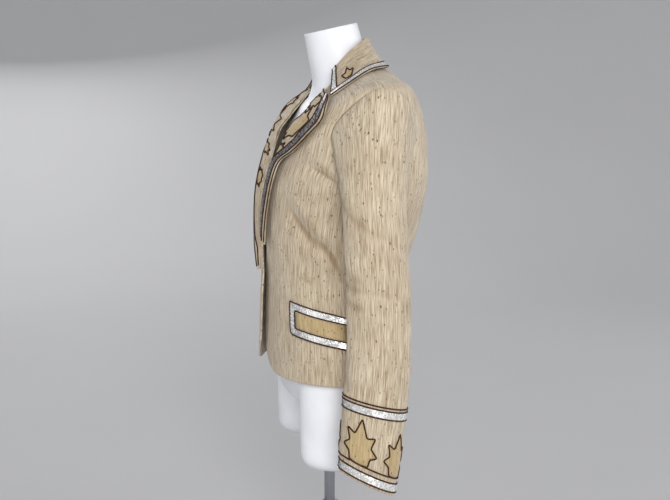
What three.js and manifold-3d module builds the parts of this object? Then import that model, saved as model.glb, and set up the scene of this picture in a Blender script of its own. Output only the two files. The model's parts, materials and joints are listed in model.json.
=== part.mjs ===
// A short fitted jacket, worn by a limbless dress form on a low stand.
// Millimetres, +Z up, the front faces -Y, the wearer's left is +X.
// The origin is on the floor, under the middle of the stand's pole.
import * as THREE from 'three';
import { mergeVertices } from 'three/addons/utils/BufferGeometryUtils.js';
import Module from 'manifold-3d';

// Cloth and seams
const CLOTH = 2.0;            // wall of cloth with its interlining
const SEAM_GAP = 0.3;         // between pieces that are sewn together

// Rows of numbers under named columns
const table = (keys, rows) => rows.map((row) => (
  Object.fromEntries(keys.map((key, index) => [key, row[index]]))
));

// Rings of the jacket's body, from hem to neck. Each ring passes through a side point, a front
// point and a back point, and fullness swells it between them.
const RING_COLUMNS = ['sideX', 'sideY', 'sideZ', 'frontY', 'frontZ', 'backY', 'backZ', 'fullness'];
const BODY_RINGS = table(RING_COLUMNS, [
  [180, 10, 393, -114, 393, 136, 393, 0.05],  // hem
  [168, 9, 460, -112, 460, 128, 460, 0.05],   // hip
  [139, 10, 548, -110, 548, 127, 548, 0.04],  // waist
  [148, 16, 640, -113, 640, 152, 640, 0.05],  // ribs
  [163, 22, 705, -108, 705, 163, 705, 0.06],  // bust
  [168, 27, 758, -95, 756, 163, 760, 0.06],   // armpit
  [178, 34, 815, -80, 799, 154, 818, 0.05],   // chest
  [190, 42, 872, -62, 820, 130, 864, 0.04],   // shoulder tip
  [128, 40, 888, -48, 840, 108, 892, 0.02],   // shoulder
  [68, 34, 905, -34, 862, 84, 914, 0],        // neck
]);
const NECK_RING = BODY_RINGS.length - 1;
const DROP = 1.4;              // how soon a ring drops away from its side point

// Armhole: an oval in the body's own angle and ring number
const ARMHOLE = { angle: 91, frontAngle: 33, backAngle: 35, lowRing: 4.78, highRing: 7.0 };

// Front edge and lapel fold, as angles from the centre front at each ring
const BREAK_RING = 2.1;       // where the lapel starts to turn
const BREAK_SPAN = 0.5;       // and how many rings it takes
const WRAP = 16;              // each front reaches past the centre by this
const FOLD_LINE = [
  { ring: 2.1, angle: 1 }, { ring: 3, angle: 3.5 }, { ring: 4, angle: 6 }, { ring: 5, angle: 9.5 },
  { ring: 6, angle: 12 }, { ring: 7, angle: 15 }, { ring: 8, angle: 25 }, { ring: 9, angle: 52 },
];

// Lapel: its fold and its free edge on the body, how far the edge stands off, and its roll
const LAPEL_COLUMNS = ['foldRing', 'foldAngle', 'edgeRing', 'edgeAngle', 'stand', 'roll'];
const LAPEL = table(LAPEL_COLUMNS, [
  [2.1, 1, 2.08, 3, 3, 1],
  [2.8, 3, 2.68, 13.5, 7, 6],
  [3.6, 5, 3.46, 18, 8, 7],
  [4.4, 7, 4.2, 20, 8, 7],
  [5.0, 9.5, 4.85, 23.5, 8, 7],
  [5.6, 10.5, 5.25, 33.5, 7, 7],
  [6.3, 12.5, 5.75, 43, 6, 8],
  [7.1, 15.5, 6.3, 49, 5, 7],
  [8.0, 25, 7.0, 47, 4, 5],
  [8.7, 43, 7.66, 47.5, 3, 3],
]);
const LAPEL_FOOT = { left: 0.95, right: 0.1 };    // row where each lapel starts
const LAPEL_BAND = { inner: 0.68, outer: 0.98 };  // shares of its width
const LAPEL_ROWS = 14;

// Collar, from its left end round to the middle of the back: the foot of its stand, its fold
// and its free edge
const COLLAR_COLUMNS = ['footAngle', 'foldX', 'foldY', 'foldZ', 'edgeX', 'edgeY', 'edgeZ'];
const COLLAR = table(COLLAR_COLUMNS, [
  [54, 64, -8, 900, 119, -25, 857],   // end
  [68, 64, 7, 917, 122, 5, 877],      // front
  [94, 59, 26, 935, 110, 44, 899],    // side
  [136, 41, 52, 951, 72, 81, 906],    // rear
  [180, 0, 68, 956, 0, 98, 906],      // middle of the back
]);
const COLLAR_STAND = { share: 0.72, inside: 5 };  // its widest place up the stand, and how far in
const COLLAR_ROLL = [{ share: 0.17, out: 3 }, { share: 0.55, out: 4 }];  // down its fall
const COLLAR_BAND = { inner: 0.875, outer: 0.99 };
const COLLAR_LINES = 21;
const FOOT_GAP = 0.9;         // between the neck seam and the middle of the stand's foot

// Pocket flap on the front: its corners in the body's angle and ring number
const FLAP = {
  frontAngle: 39.5, backAngle: 89, topFront: 1.76, topBack: 1.43, bottomFront: 1.13, bottomBack: 0.83,
};
const FLAP_LIFT = CLOTH + 1.5;  // its outer face over the front's
const FLAP_CORNER = { height: 0.2, cut: 0.07 };  // rounded lower corners, as shares of the flap

// Trim
const TRIM = 1.0;             // thickness of a band of cord and sequins
const TRIM_LIFT = 0.5;        // under a band
const LAPEL_LIFT = 1.1;       // under a lapel, at its fold
// The band round a flap, in shares of the flap: its outer edge, and how far its inner edge lies in
const FLAP_BAND = { ends: 0.02, top: 0.05, bottom: 0.07, across: 0.24, endShare: 0.45, extraLift: 0.4 };
const CUFF_BANDS = [
  { name: 'upper', from: 3.93, to: 4.08 },
  { name: 'lower', from: 4.83, to: 4.95 },
];
const LEAF_LIFT = 1.3;
const LEAF_CORD = 3.6;        // width of a leaf's outline
// Leaves round each cuff: their size, and the sleeve's girth and its length per section there
const CUFF_LEAF = {
  count: 4, width: 58, height: 72, firstTurn: 54, section: 4.76, girth: 290, sectionLength: 120,
};

// The dress form: how far its surface lies under the cloth, and its rings outside the jacket
const EASE = [
  { ring: 0, ease: 12 }, { ring: 1, ease: 9 }, { ring: 2, ease: 9 }, { ring: 5, ease: 9 },
  { ring: 6.5, ease: 8 }, { ring: 7.4, ease: 5 }, { ring: 8.0, ease: 0.4 }, { ring: 8.2, ease: 1.6 },
];
const EASE_TOP = 8.2;          // ring where the form leaves the jacket
const SEAT_RINGS = table(RING_COLUMNS, [
  [120, 12, 330, -55, 330, 78, 330, 0.05],    // underside
  [146, 12, 348, -80, 348, 104, 348, 0.05],   // seat
]);
const NECK_RINGS = table(RING_COLUMNS, [
  [56, 28, 891, -37, 851, 70, 895, 0],        // slope
  [48, 20, 914, -29, 882, 63, 922, 0],        // base
  [47, 8, 946, -36, 925, 56, 954, 0],         // throat
  [47, -1, 995, -49, 995, 42, 1000, 0],       // top, cut off below this
]);
const NECK_CUT = { y: 0.5, z: 971.5, slope: 0.23, reach: 400 };
const THIGH = {
  x: 106, y: 8, halfWidth: 54, halfDepth: 81, top: 420, bottom: 237, roundness: 26, flare: 4,
};
const FORM_LINES = 28;
const FORM_ROWS = 14;
const THIGH_LINES = 24;

// The stand
const POLE = {
  radius: 9.5, top: 392, bevel: 2, socketTop: 392.3, socketDepth: 200, clearance: 0.3, lines: 24,
};
const BASE = {
  radius: 145, edge: 5, bevel: 4, height: 9, hubRadius: 20, fillet: 3, hubHeight: 24, floor: 4, lines: 36,
};
const CLAMP = { z: 128, radius: 15, height: 16, knobRadius: 8, knobLength: 16, knobBury: 2 };

// Sleeve sections below the armhole: centre, half sizes, and how far the section tips to the back
const SLEEVE_SECTIONS = table(['z', 'x', 'y', 'halfDepth', 'halfWidth', 'tilt'], [
  [690, 211, 24, 51, 42, -0.02],
  [630, 216, 26, 51, 42, 0.02],
  [550, 221, 29, 52, 41, 0.08],
  [460, 227, 28, 52, 40, 0.13],
  [374, 231, 21, 51, 39, 0.24],
  [254, 235, 7, 45.5, 36, 0.51],
]);
const SLEEVE_LINES = 20;
const SLEEVE_ROWS = { head: 7, arm: 10 };

// The sleeve head: how far each line reaches straight on where it leaves the armhole and where it
// meets the first section, and how much more it does at the top
const CAP = {
  start: 38.5, startTop: 31, end: 71, endTop: 71, middle: [176, 36, 800], lift: 0.1, flare: 0.6,
};
const RIM_INSET = 1.0;        // the sleeve's rim lies this far inside the armhole

// The rounded lower corner of each front, and the right front's stand over the left one
const CORNER = { radius: 72, angle: 30 };
const LAP = { below: 13, above: 3.5, from: -34, to: 6, lowRing: 1.6, highRing: 3.2 };

const rad = THREE.MathUtils.degToRad;
const clamp = THREE.MathUtils.clamp;

// A column of a table at a fractional row, through every row, without a kink
function column(rows, key, at) {
  const last = rows.length - 1;
  const t = clamp(at, 0, last);
  const i = Math.min(Math.floor(t), last - 1);
  const f = t - i;
  const value = (n) => rows[clamp(n, 0, last)][key];
  const here = value(i);
  const next = value(i + 1);
  const slopeHere = i > 0 ? (next - value(i - 1)) / 2 : next - here;
  const slopeNext = i + 2 <= last ? (value(i + 2) - here) / 2 : next - here;
  const f2 = f * f;
  const f3 = f2 * f;
  return here * (2 * f3 - 3 * f2 + 1) + slopeHere * (f3 - 2 * f2 + f)
    + next * (3 * f2 - 2 * f3) + slopeNext * (f3 - f2);
}

// A value against a key column that isn't evenly spaced
function lookup(rows, key, out, at) {
  let i = 0;
  while (i < rows.length - 2 && at > rows[i + 1][key]) i += 1;
  const f = clamp((at - rows[i][key]) / (rows[i + 1][key] - rows[i][key]), 0, 1);
  return column(rows, out, i + f);
}

const smooth = (low, high, v) => THREE.MathUtils.smoothstep(v, low, high);

// A point of the body's outer face. angle is 0 at the centre front, 90 at the wearer's left.
function ringPoint(rows, angle, ring) {
  const get = (key) => column(rows, key, ring);
  const c = Math.cos(rad(angle));
  const s = Math.sin(rad(angle));
  const swell = 1 + get('fullness') * Math.sin(rad(2 * angle)) ** 2;
  const front = c > 0;
  const sideY = get('sideY');
  const endY = get(front ? 'frontY' : 'backY');
  const sideZ = get('sideZ');
  const endZ = get(front ? 'frontZ' : 'backZ');
  return new THREE.Vector3(
    get('sideX') * s * swell,
    sideY + (endY - sideY) * Math.abs(c) * swell,
    sideZ + (endZ - sideZ) * Math.abs(c) ** DROP,
  );
}

function ringNormal(rows, angle, ring) {
  const step = 0.02;
  const last = rows.length - 1;
  const along = ringPoint(rows, angle, Math.min(ring + step, last))
    .sub(ringPoint(rows, angle, Math.max(ring - step, 0)));
  const around = ringPoint(rows, angle + 0.5, ring).sub(ringPoint(rows, angle - 0.5, ring));
  return around.cross(along).normalize();
}

// Soft folds pressed into the body's cloth: place, direction and size in the cloth's own sizes
const BODY_FOLDS = [
  { angle: 52, z: 742, length: 120, width: 30, lean: -28, depth: -5 },
  { angle: 48, z: 640, length: 180, width: 36, lean: -50, depth: -5 },
  { angle: 128, z: 610, length: 130, width: 32, lean: 55, depth: -5 },
  { angle: 152, z: 560, length: 100, width: 28, lean: 15, depth: -4 },
];

function foldDepth(side, angle, point) {
  const unsigned = Math.abs(angle);
  let depth = 0;
  for (const fold of BODY_FOLDS) {
    const across = (unsigned - fold.angle) * 2.5;
    const up = point.z - fold.z;
    const c = Math.cos(rad(fold.lean));
    const s = Math.sin(rad(fold.lean));
    const along = across * c + up * s;
    const off = -across * s + up * c;
    depth += fold.depth * Math.exp(-((off / fold.width) ** 2) - (2 * along / fold.length) ** 2);
  }
  return depth * (side > 0 ? 1 : 0.8);
}

// The body's cloth: the smooth ring, its folds, and a lift off it. side is 1 for the left half.
function cloth(angle, ring, lift = 0) {
  const point = ringPoint(BODY_RINGS, angle, ring);
  const normal = ringNormal(BODY_RINGS, angle, ring);
  const fold = foldDepth(Math.sign(angle) || 1, angle, point);
  return { point: point.addScaledVector(normal, lift + fold), normal };
}

// How many degrees a length is worth at a ring, near the centre front
const degreesFor = (length, angle, ring) => {
  const step = 1;
  const ahead = ringPoint(BODY_RINGS, angle + step, ring);
  const span = ahead.distanceTo(ringPoint(BODY_RINGS, angle - step, ring));
  return (length / span) * 2 * step;
};

// Meshes
function geometryOf(positions, faces) {
  const geometry = new THREE.BufferGeometry();
  geometry.setAttribute('position', new THREE.Float32BufferAttribute(positions, 3));
  geometry.setIndex(faces);
  return geometry;
}

// A wall from a grid of { point, normal }: the outer face, an inner face one thickness in, and
// the edges. It is a tube where closed is true. turn flips it for a grid laid the other way round.
function wall(grid, thickness, { closed = false, turn = false } = {}) {
  const rows = grid.length;
  const cols = grid[0].length;
  const positions = [];
  for (const depth of [0, thickness]) {
    for (const row of grid) {
      for (const { point, normal } of row) {
        const p = point.clone().addScaledVector(normal, -depth);
        positions.push(p.x, p.y, p.z);
      }
    }
  }
  const inner = rows * cols;
  const faces = [];
  const quad = (a, b, c, d) => {
    if (turn) faces.push(a, c, b, a, d, c);
    else faces.push(a, b, c, a, c, d);
  };
  const at = (i, j) => i * cols + (j % cols);
  const spans = closed ? cols : cols - 1;
  for (let i = 0; i < rows - 1; i += 1) {
    for (let j = 0; j < spans; j += 1) {
      const [a, b, c, d] = [at(i, j), at(i, j + 1), at(i + 1, j + 1), at(i + 1, j)];
      quad(a, b, c, d);
      quad(inner + a, inner + d, inner + c, inner + b);
    }
  }
  for (let j = 0; j < spans; j += 1) {
    const [a, b] = [at(0, j), at(0, j + 1)];
    quad(a, inner + a, inner + b, b);
    const [c, d] = [at(rows - 1, j), at(rows - 1, j + 1)];
    quad(c, d, inner + d, inner + c);
  }
  if (!closed) {
    for (let i = 0; i < rows - 1; i += 1) {
      const [a, b] = [at(i, 0), at(i + 1, 0)];
      quad(a, b, inner + b, inner + a);
      const [c, d] = [at(i, cols - 1), at(i + 1, cols - 1)];
      quad(c, inner + c, inner + d, d);
    }
  }
  return geometryOf(positions, faces);
}

function spread(from, to, count) {
  return Array.from({ length: count }, (_, i) => from + ((to - from) * i) / (count - 1));
}

// Lines up each panel. Those of a front crowd a little towards its edge.
const FRONT_LINES = 12;
const FRONT_CROWDING = 1.15;
const BACK_LINES = 9;

// Ring numbers of the panels' rows: close together where the armhole turns
const ROWS_BELOW = 9;
function panelRings() {
  const { lowRing: low, highRing: high } = ARMHOLE;
  const below = spread(0, low, ROWS_BELOW + 1).slice(0, -1);
  const beside = spread(-90, 90, SLEEVE_LINES / 2 + 1)
    .map((a) => (low + high) / 2 + ((high - low) / 2) * Math.sin(rad(a)));
  const above = spread(high, NECK_RING, 5).slice(1);
  return [...below, ...beside, ...above];
}

// Half the armhole's opening, in degrees, at a ring
function armholeReach(ring, half) {
  const { lowRing: low, highRing: high } = ARMHOLE;
  const f = (ring - (low + high) / 2) / ((high - low) / 2);
  return Math.abs(f) < 1 ? half * Math.sqrt(1 - f * f) : 0;
}

const foldAngle = (ring) => lookup(FOLD_LINE, 'ring', 'angle', ring);

// The front's inner edge, in degrees past the centre: a wrap below the break, the fold above it
function frontEdge(ring) {
  const wrapAngle = -degreesFor(WRAP, 0, ring);
  if (ring <= BREAK_RING) return wrapAngle;
  const blend = smooth(BREAK_RING, BREAK_RING + BREAK_SPAN, ring);
  return THREE.MathUtils.lerp(wrapAngle, foldAngle(ring), blend);
}

// How far the hem rises towards the front edge, in rings
function hemRise(fraction, edgeAngle, sideAngle) {
  const angle = edgeAngle + (sideAngle - edgeAngle) * fraction;
  const f = clamp(1 - (angle - edgeAngle) / CORNER.angle, 0, 1);
  const rise = CORNER.radius * (1 - Math.sqrt(1 - f * f));
  return rise / (BODY_RINGS[1].sideZ - BODY_RINGS[0].sideZ);
}

// How far the right front stands off the left one where it laps over it
function lapLift(side, angle, ring) {
  if (side > 0) return 0;
  const { below, above, from, to, lowRing, highRing } = LAP;
  const higher = smooth(lowRing, highRing, ring);
  return smooth(from, to, angle) * THREE.MathUtils.lerp(below, above, higher);
}

function frontPanel(side) {
  const sideSeam = (ring) => ARMHOLE.angle - degreesFor(SEAM_GAP / 2, 90, ring);
  const columns = spread(0, 1, FRONT_LINES).map((f) => f ** FRONT_CROWDING);
  const grid = panelRings().map((ring, rowIndex) => columns.map((fraction) => {
    const rise = hemRise(fraction, frontEdge(0), sideSeam(0));
    const at = ring + rise * Math.max(0, 1 - rowIndex / ROWS_BELOW);
    const edge = frontEdge(at);
    const outer = sideSeam(at) - armholeReach(at, ARMHOLE.frontAngle);
    const angle = edge + (outer - edge) * fraction;
    return cloth(side * angle, at, lapLift(side, -angle, at));
  }));
  return wall(grid, CLOTH, { turn: side < 0 });
}

// Half of the back, from the side seam to the seam down its middle
function backPanel(side) {
  const grid = panelRings().map((ring) => {
    const sideSeam = ARMHOLE.angle + degreesFor(SEAM_GAP / 2, 90, ring);
    const middleSeam = 180 - degreesFor(SEAM_GAP / 2, 180, ring);
    return spread(sideSeam + armholeReach(ring, ARMHOLE.backAngle), middleSeam, BACK_LINES)
      .map((angle) => cloth(side * angle, ring));
  });
  return wall(grid, CLOTH, { turn: side < 0 });
}

// A point of the armhole's rim. turn is 0 at the front, 90 at the shoulder tip.
function armholePoint(turn) {
  const { angle, frontAngle, backAngle, lowRing, highRing } = ARMHOLE;
  const c = Math.cos(rad(turn));
  const reach = (c > 0 ? frontAngle : backAngle) * c;
  const ring = (lowRing + highRing) / 2 + ((highRing - lowRing) / 2) * Math.sin(rad(turn));
  return cloth(angle - reach, ring);
}

// A point of the sleeve's section number `at`, where 0 is the first row of the table
function sleeveSection(turn, at) {
  const get = (key) => column(SLEEVE_SECTIONS, key, at);
  const y = -get('halfDepth') * Math.cos(rad(turn));
  const x = get('halfWidth') * Math.sin(rad(turn));
  return new THREE.Vector3(get('x') + x, get('y') + y, get('z') - get('tilt') * y);
}

// A point of the sleeve. From -1 to 0 it is the head, where each line leaves the armhole outwards
// and turns down into the first section.
function sleevePoint(turn, at) {
  if (at >= 0) return sleeveSection(turn, at);
  const f = at + 1;
  const rim = armholePoint(turn);
  const middle = new THREE.Vector3(...CAP.middle);
  const inward = middle.clone().sub(rim.point).normalize();
  const start = rim.point.clone().addScaledVector(inward, RIM_INSET);
  const up = Math.max(Math.sin(rad(turn)), 0);
  const leave = new THREE.Vector3(1, 0, CAP.lift).addScaledVector(rim.normal, CAP.flare).normalize()
    .multiplyScalar(CAP.start + CAP.startTop * up);
  const end = sleeveSection(turn, 0);
  const arrive = sleeveSection(turn, 0.01).sub(end).normalize()
    .multiplyScalar(CAP.end + CAP.endTop * up);
  const f2 = f * f;
  const f3 = f2 * f;
  return new THREE.Vector3()
    .addScaledVector(start, 2 * f3 - 3 * f2 + 1)
    .addScaledVector(leave, f3 - 2 * f2 + f)
    .addScaledVector(end, 3 * f2 - 2 * f3)
    .addScaledVector(arrive, f3 - f2);
}

function sleeveNormal(turn, at) {
  const last = SLEEVE_SECTIONS.length - 1;
  const along = sleevePoint(turn, Math.min(at + 0.02, last))
    .sub(sleevePoint(turn, Math.max(at - 0.02, -1)));
  const around = sleevePoint(turn + 2, at).sub(sleevePoint(turn - 2, at));
  return along.cross(around).normalize();
}

function mirrored({ point, normal }, side) {
  const flip = new THREE.Vector3(side, 1, 1);
  return { point: point.multiply(flip), normal: normal.multiply(flip) };
}

// A point of a sleeve's outer face, lifted
function sleeveCloth(side, turn, at, lift = 0) {
  const normal = sleeveNormal(turn, at);
  return mirrored({ point: sleevePoint(turn, at).addScaledVector(normal, lift), normal }, side);
}

const sleeveTurns = spread(0, 360, SLEEVE_LINES + 1).slice(0, -1);

function sleeve(side) {
  const last = SLEEVE_SECTIONS.length - 1;
  const stations = [...spread(-1, 0, SLEEVE_ROWS.head), ...spread(0, last, SLEEVE_ROWS.arm).slice(1)];
  const grid = stations.map((at) => sleeveTurns.map((turn) => sleeveCloth(side, turn, at)));
  return wall(grid, CLOTH, { closed: true, turn: side > 0 });
}

// How far a front's cloth lies off the body at a signed angle
const frontLift = (side, angle, ring) => lapLift(side, -angle, ring);

// A point of a lapel: u runs up the rows of its table, v from the fold to the free edge
function lapelPoint(side, u, v, lift = 0) {
  const get = (key) => column(LAPEL, key, u);
  const angle = THREE.MathUtils.lerp(get('foldAngle'), get('edgeAngle'), v);
  const ring = THREE.MathUtils.lerp(get('foldRing'), get('edgeRing'), v);
  const off = CLOTH + LAPEL_LIFT + get('stand') * smooth(0, 1, v) + get('roll') * Math.sin(Math.PI * v);
  return cloth(side * angle, ring, frontLift(side, angle, ring) + off + lift);
}

function lapelRows(side) {
  const foot = side > 0 ? LAPEL_FOOT.left : LAPEL_FOOT.right;
  return spread(foot, LAPEL.length - 1, LAPEL_ROWS);
}

function lapel(side) {
  const grid = lapelRows(side).map((u) => spread(0, 1, 7).map((v) => lapelPoint(side, u, v)));
  return wall(grid, CLOTH, { turn: side < 0 });
}

function lapelBand(side) {
  const lift = TRIM + TRIM_LIFT;
  const across = spread(LAPEL_BAND.inner, LAPEL_BAND.outer, 3);
  const grid = lapelRows(side).map((u) => across.map((v) => lapelPoint(side, u, v, lift)));
  return wall(grid, TRIM, { turn: side < 0 });
}

// The collar's stations all the way round, left end to right end
const collarRound = [
  ...COLLAR,
  ...COLLAR.slice(0, -1).reverse().map((row) => (
    { ...row, footAngle: 360 - row.footAngle, foldX: -row.foldX, edgeX: -row.edgeX }
  )),
];

// A section of the collar: up its stand, over its fold and down its fall
function collarSection(t) {
  const at = (name) => new THREE.Vector3(
    ...['X', 'Y', 'Z'].map((axis) => column(collarRound, name + axis, t)),
  );
  const neckAngle = column(collarRound, 'footAngle', t);
  const neck = ringPoint(BODY_RINGS, neckAngle, NECK_RING);
  const rise = neck.clone().sub(ringPoint(BODY_RINGS, neckAngle, NECK_RING - 0.1)).normalize();
  const foot = neck.addScaledVector(rise, FOOT_GAP);
  const fold = at('fold');
  const edge = at('edge');
  const out = edge.clone().sub(foot).setZ(0).normalize();
  const fall = edge.clone().sub(fold);
  const swell = new THREE.Vector3(-out.y, out.x, 0).cross(fall).normalize();
  return [
    foot,
    foot.clone().lerp(fold, COLLAR_STAND.share).addScaledVector(out, -COLLAR_STAND.inside),
    fold.clone().addScaledVector(out, -1),
    ...COLLAR_ROLL.map((roll) => (
      fold.clone().addScaledVector(fall, roll.share).addScaledVector(swell, roll.out)
    )),
    edge,
  ];
}

// A point of the collar's outer face, lifted: t runs round the neck, c from its foot to its free edge
function collarPoint(t, c, lift = 0) {
  const place = (tt, cc) => {
    const rows = collarSection(tt).map((p) => ({ x: p.x, y: p.y, z: p.z }));
    return new THREE.Vector3(...['x', 'y', 'z'].map((key) => column(rows, key, cc * (rows.length - 1))));
  };
  const last = collarRound.length - 1;
  const point = place(t, c);
  const around = place(Math.min(t + 0.05, last), c).sub(place(Math.max(t - 0.05, 0), c));
  const over = place(t, Math.min(c + 0.02, 1)).sub(place(t, Math.max(c - 0.02, 0)));
  const normal = over.cross(around).normalize();
  return { point: point.addScaledVector(normal, CLOTH + lift), normal };
}

function collar() {
  const last = collarRound.length - 1;
  const grid = spread(0, last, COLLAR_LINES).map((t) => spread(0, 1, 9).map((c) => collarPoint(t, c)));
  return wall(grid, CLOTH);
}

function collarBand() {
  const last = collarRound.length - 1;
  const across = [COLLAR_BAND.inner, COLLAR_BAND.outer];
  const grid = spread(0, last, COLLAR_LINES)
    .map((t) => across.map((c) => collarPoint(t, c, TRIM + TRIM_LIFT)));
  return wall(grid, TRIM);
}

// A point of a pocket flap: a runs from its front end to its back end, b down
function flapPoint(side, a, b, lift) {
  const { frontAngle, backAngle, topFront, topBack, bottomFront, bottomBack } = FLAP;
  const { lerp } = THREE.MathUtils;
  const angle = lerp(frontAngle, backAngle, a);
  const ring = lerp(lerp(topFront, topBack, a), lerp(bottomFront, bottomBack, a), b);
  return cloth(side * angle, ring, frontLift(side, angle, ring) + lift);
}

function flap(side) {
  const grid = spread(1, 0, 6).map((b) => {
    const down = clamp(1 - (1 - b) / FLAP_CORNER.height, 0, 1);
    const cut = FLAP_CORNER.cut * (1 - Math.sqrt(1 - down ** 2));
    return spread(cut, 1 - cut, 11).map((a) => flapPoint(side, a, b, FLAP_LIFT));
  });
  return wall(grid, CLOTH, { turn: side < 0 });
}

// The band round a flap: a closed run along its four sides, from the outer to the inner edge
function flapBand(side) {
  const lift = FLAP_LIFT + TRIM + TRIM_LIFT + FLAP_BAND.extraLift;
  const path = (inset) => {
    const end = FLAP_BAND.ends + inset * FLAP_BAND.endShare;
    const ends = [end, 1 - end];
    const edges = [FLAP_BAND.top + inset, 1 - FLAP_BAND.bottom - inset];
    return [
      ...spread(ends[0], ends[1], 9).slice(0, -1).map((a) => [a, edges[1]]),
      ...spread(edges[1], edges[0], 4).slice(0, -1).map((b) => [ends[1], b]),
      ...spread(ends[1], ends[0], 9).slice(0, -1).map((a) => [a, edges[0]]),
      ...spread(edges[0], edges[1], 4).slice(0, -1).map((b) => [ends[0], b]),
    ];
  };
  const insets = [0, FLAP_BAND.across];
  const grid = insets.map((inset) => path(inset).map(([a, b]) => flapPoint(side, a, b, lift)));
  return wall(grid, TRIM, { closed: true, turn: side < 0 });
}

function cuffBand(side, { from, to }) {
  const grid = spread(from, to, 2)
    .map((at) => sleeveTurns.map((turn) => sleeveCloth(side, turn, at, TRIM + TRIM_LIFT)));
  return wall(grid, TRIM, { closed: true, turn: side > 0 });
}

// A pointed leaf with three lobes a side, in a box one wide and one high, from its stalk round
const LEAF = [
  [0.05, 0], [0.26, 0.02], [0.3, 0.2], [0.5, 0.3], [0.3, 0.44], [0.4, 0.7], [0.17, 0.62], [0, 1],
];
const LEAF_MIDDLE = 0.42;

// The leaf's outline as a closed run of points in millimetres, drawn in towards its middle
function leafOutline(width, height, inset) {
  const half = LEAF.map(([x, y]) => [x * width, y * height]);
  const whole = [...half, ...half.slice(0, -1).reverse().map(([x, y]) => [-x, y])];
  return whole.map(([x, y]) => {
    const dy = y - height * LEAF_MIDDLE;
    const length = Math.hypot(x, dy);
    return [x - (x / length) * inset, y - (dy / length) * inset];
  });
}

// A leaf's cord on any cloth: place takes millimetres across and up to a lifted point
function leafCord(width, height, place, turn) {
  const grid = [0, LEAF_CORD]
    .map((inset) => leafOutline(width, height, inset).map(([x, y]) => place(x, y)));
  return wall(grid, TRIM, { closed: true, turn });
}

function cuffLeaf(side, index) {
  const { count, width, height, firstTurn, section, girth, sectionLength } = CUFF_LEAF;
  const middle = firstTurn + (index * 360) / count;
  const place = (x, y) => (
    sleeveCloth(side, middle + (x * 360) / girth, section - y / sectionLength, TRIM + LEAF_LIFT)
  );
  return leafCord(width, height, place, side < 0);
}

// The dress form
const around = (count, make) => spread(0, 360, count + 1).slice(0, -1).map(make);

function capped(rows) {
  const cols = rows[0].length;
  const positions = rows.flat().flatMap((p) => [p.x, p.y, p.z]);
  const faces = [];
  for (let i = 0; i < rows.length - 1; i += 1) {
    for (let j = 0; j < cols; j += 1) {
      const [a, b] = [i * cols + j, i * cols + ((j + 1) % cols)];
      faces.push(a, b, b + cols, a, b + cols, a + cols);
    }
  }
  for (const [row, up] of [[0, false], [rows.length - 1, true]]) {
    const centre = positions.length / 3;
    const middle = rows[row].reduce((sum, p) => sum.add(p), new THREE.Vector3()).divideScalar(cols);
    positions.push(middle.x, middle.y, middle.z);
    for (let j = 0; j < cols; j += 1) {
      const [a, b] = [row * cols + j, row * cols + ((j + 1) % cols)];
      if (up) faces.push(centre, a, b);
      else faces.push(centre, b, a);
    }
  }
  return geometryOf(positions, faces);
}

function underCloth(angle, ring) {
  const normal = ringNormal(BODY_RINGS, angle, ring);
  const ease = lookup(EASE, 'ring', 'ease', ring);
  return ringPoint(BODY_RINGS, angle, ring).addScaledVector(normal, -(CLOTH + ease));
}

const wasm = await Module();
wasm.setup();

function solidOf(geometry) {
  const bare = geometry.clone();
  bare.deleteAttribute('normal');
  bare.deleteAttribute('uv');
  const merged = mergeVertices(bare, 0.0001);
  return new wasm.Manifold(new wasm.Mesh({
    numProp: 3,
    vertProperties: new Float32Array(merged.attributes.position.array),
    triVerts: new Uint32Array(merged.index.array),
  }));
}

function geometryFrom(solid) {
  const { vertProperties, triVerts } = solid.getMesh();
  return geometryOf(Array.from(vertProperties), Array.from(triVerts));
}

function thigh(side) {
  const { x, y, halfWidth, halfDepth, top, bottom, roundness, flare } = THIGH;
  const rows = [
    ...[15, 45, 75].map((a) => ({
      z: bottom + roundness * (1 - Math.sin(rad(a))),
      inset: roundness * (1 - Math.cos(rad(a))),
    })).reverse(),
    { z: bottom + roundness, inset: 0 },
    { z: top, inset: -flare },
  ];
  return capped(rows.map(({ z, inset }) => around(THIGH_LINES, (turn) => new THREE.Vector3(
    side * x + (halfWidth - inset) * Math.sin(rad(turn)),
    y - (halfDepth - inset) * Math.cos(rad(turn)),
    z,
  ))));
}

function dressForm() {
  const rows = [
    ...SEAT_RINGS.map((_, i) => around(FORM_LINES, (angle) => ringPoint(SEAT_RINGS, angle, i))),
    ...spread(0, EASE_TOP, FORM_ROWS)
      .map((ring) => around(FORM_LINES, (angle) => underCloth(angle, ring))),
    ...NECK_RINGS.map((_, i) => around(FORM_LINES, (angle) => ringPoint(NECK_RINGS, angle, i))),
  ];
  const above = new THREE.BoxGeometry(NECK_CUT.reach, NECK_CUT.reach, NECK_CUT.reach);
  above.translate(0, 0, NECK_CUT.reach / 2);
  above.rotateX(Math.atan(NECK_CUT.slope));
  above.translate(0, NECK_CUT.y, NECK_CUT.z);
  const bore = POLE.radius + POLE.clearance;
  const socket = new THREE.CylinderGeometry(bore, bore, POLE.socketDepth, POLE.lines);
  socket.rotateX(Math.PI / 2);
  socket.translate(0, 0, POLE.socketTop - POLE.socketDepth / 2);
  const whole = solidOf(capped(rows)).add(solidOf(thigh(1))).add(solidOf(thigh(-1)));
  return geometryFrom(whole.subtract(solidOf(above)).subtract(solidOf(socket)));
}

function lathe(profile, segments) {
  const geometry = new THREE.LatheGeometry(profile.map(([r, z]) => new THREE.Vector2(r, z)), segments);
  geometry.rotateX(Math.PI / 2);
  return geometry;
}

function pole() {
  const { radius, top, bevel, lines } = POLE;
  const foot = BASE.floor + SEAM_GAP;
  return lathe([[0, foot], [radius, foot], [radius, top - bevel], [radius - bevel, top], [0, top]], lines);
}

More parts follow.
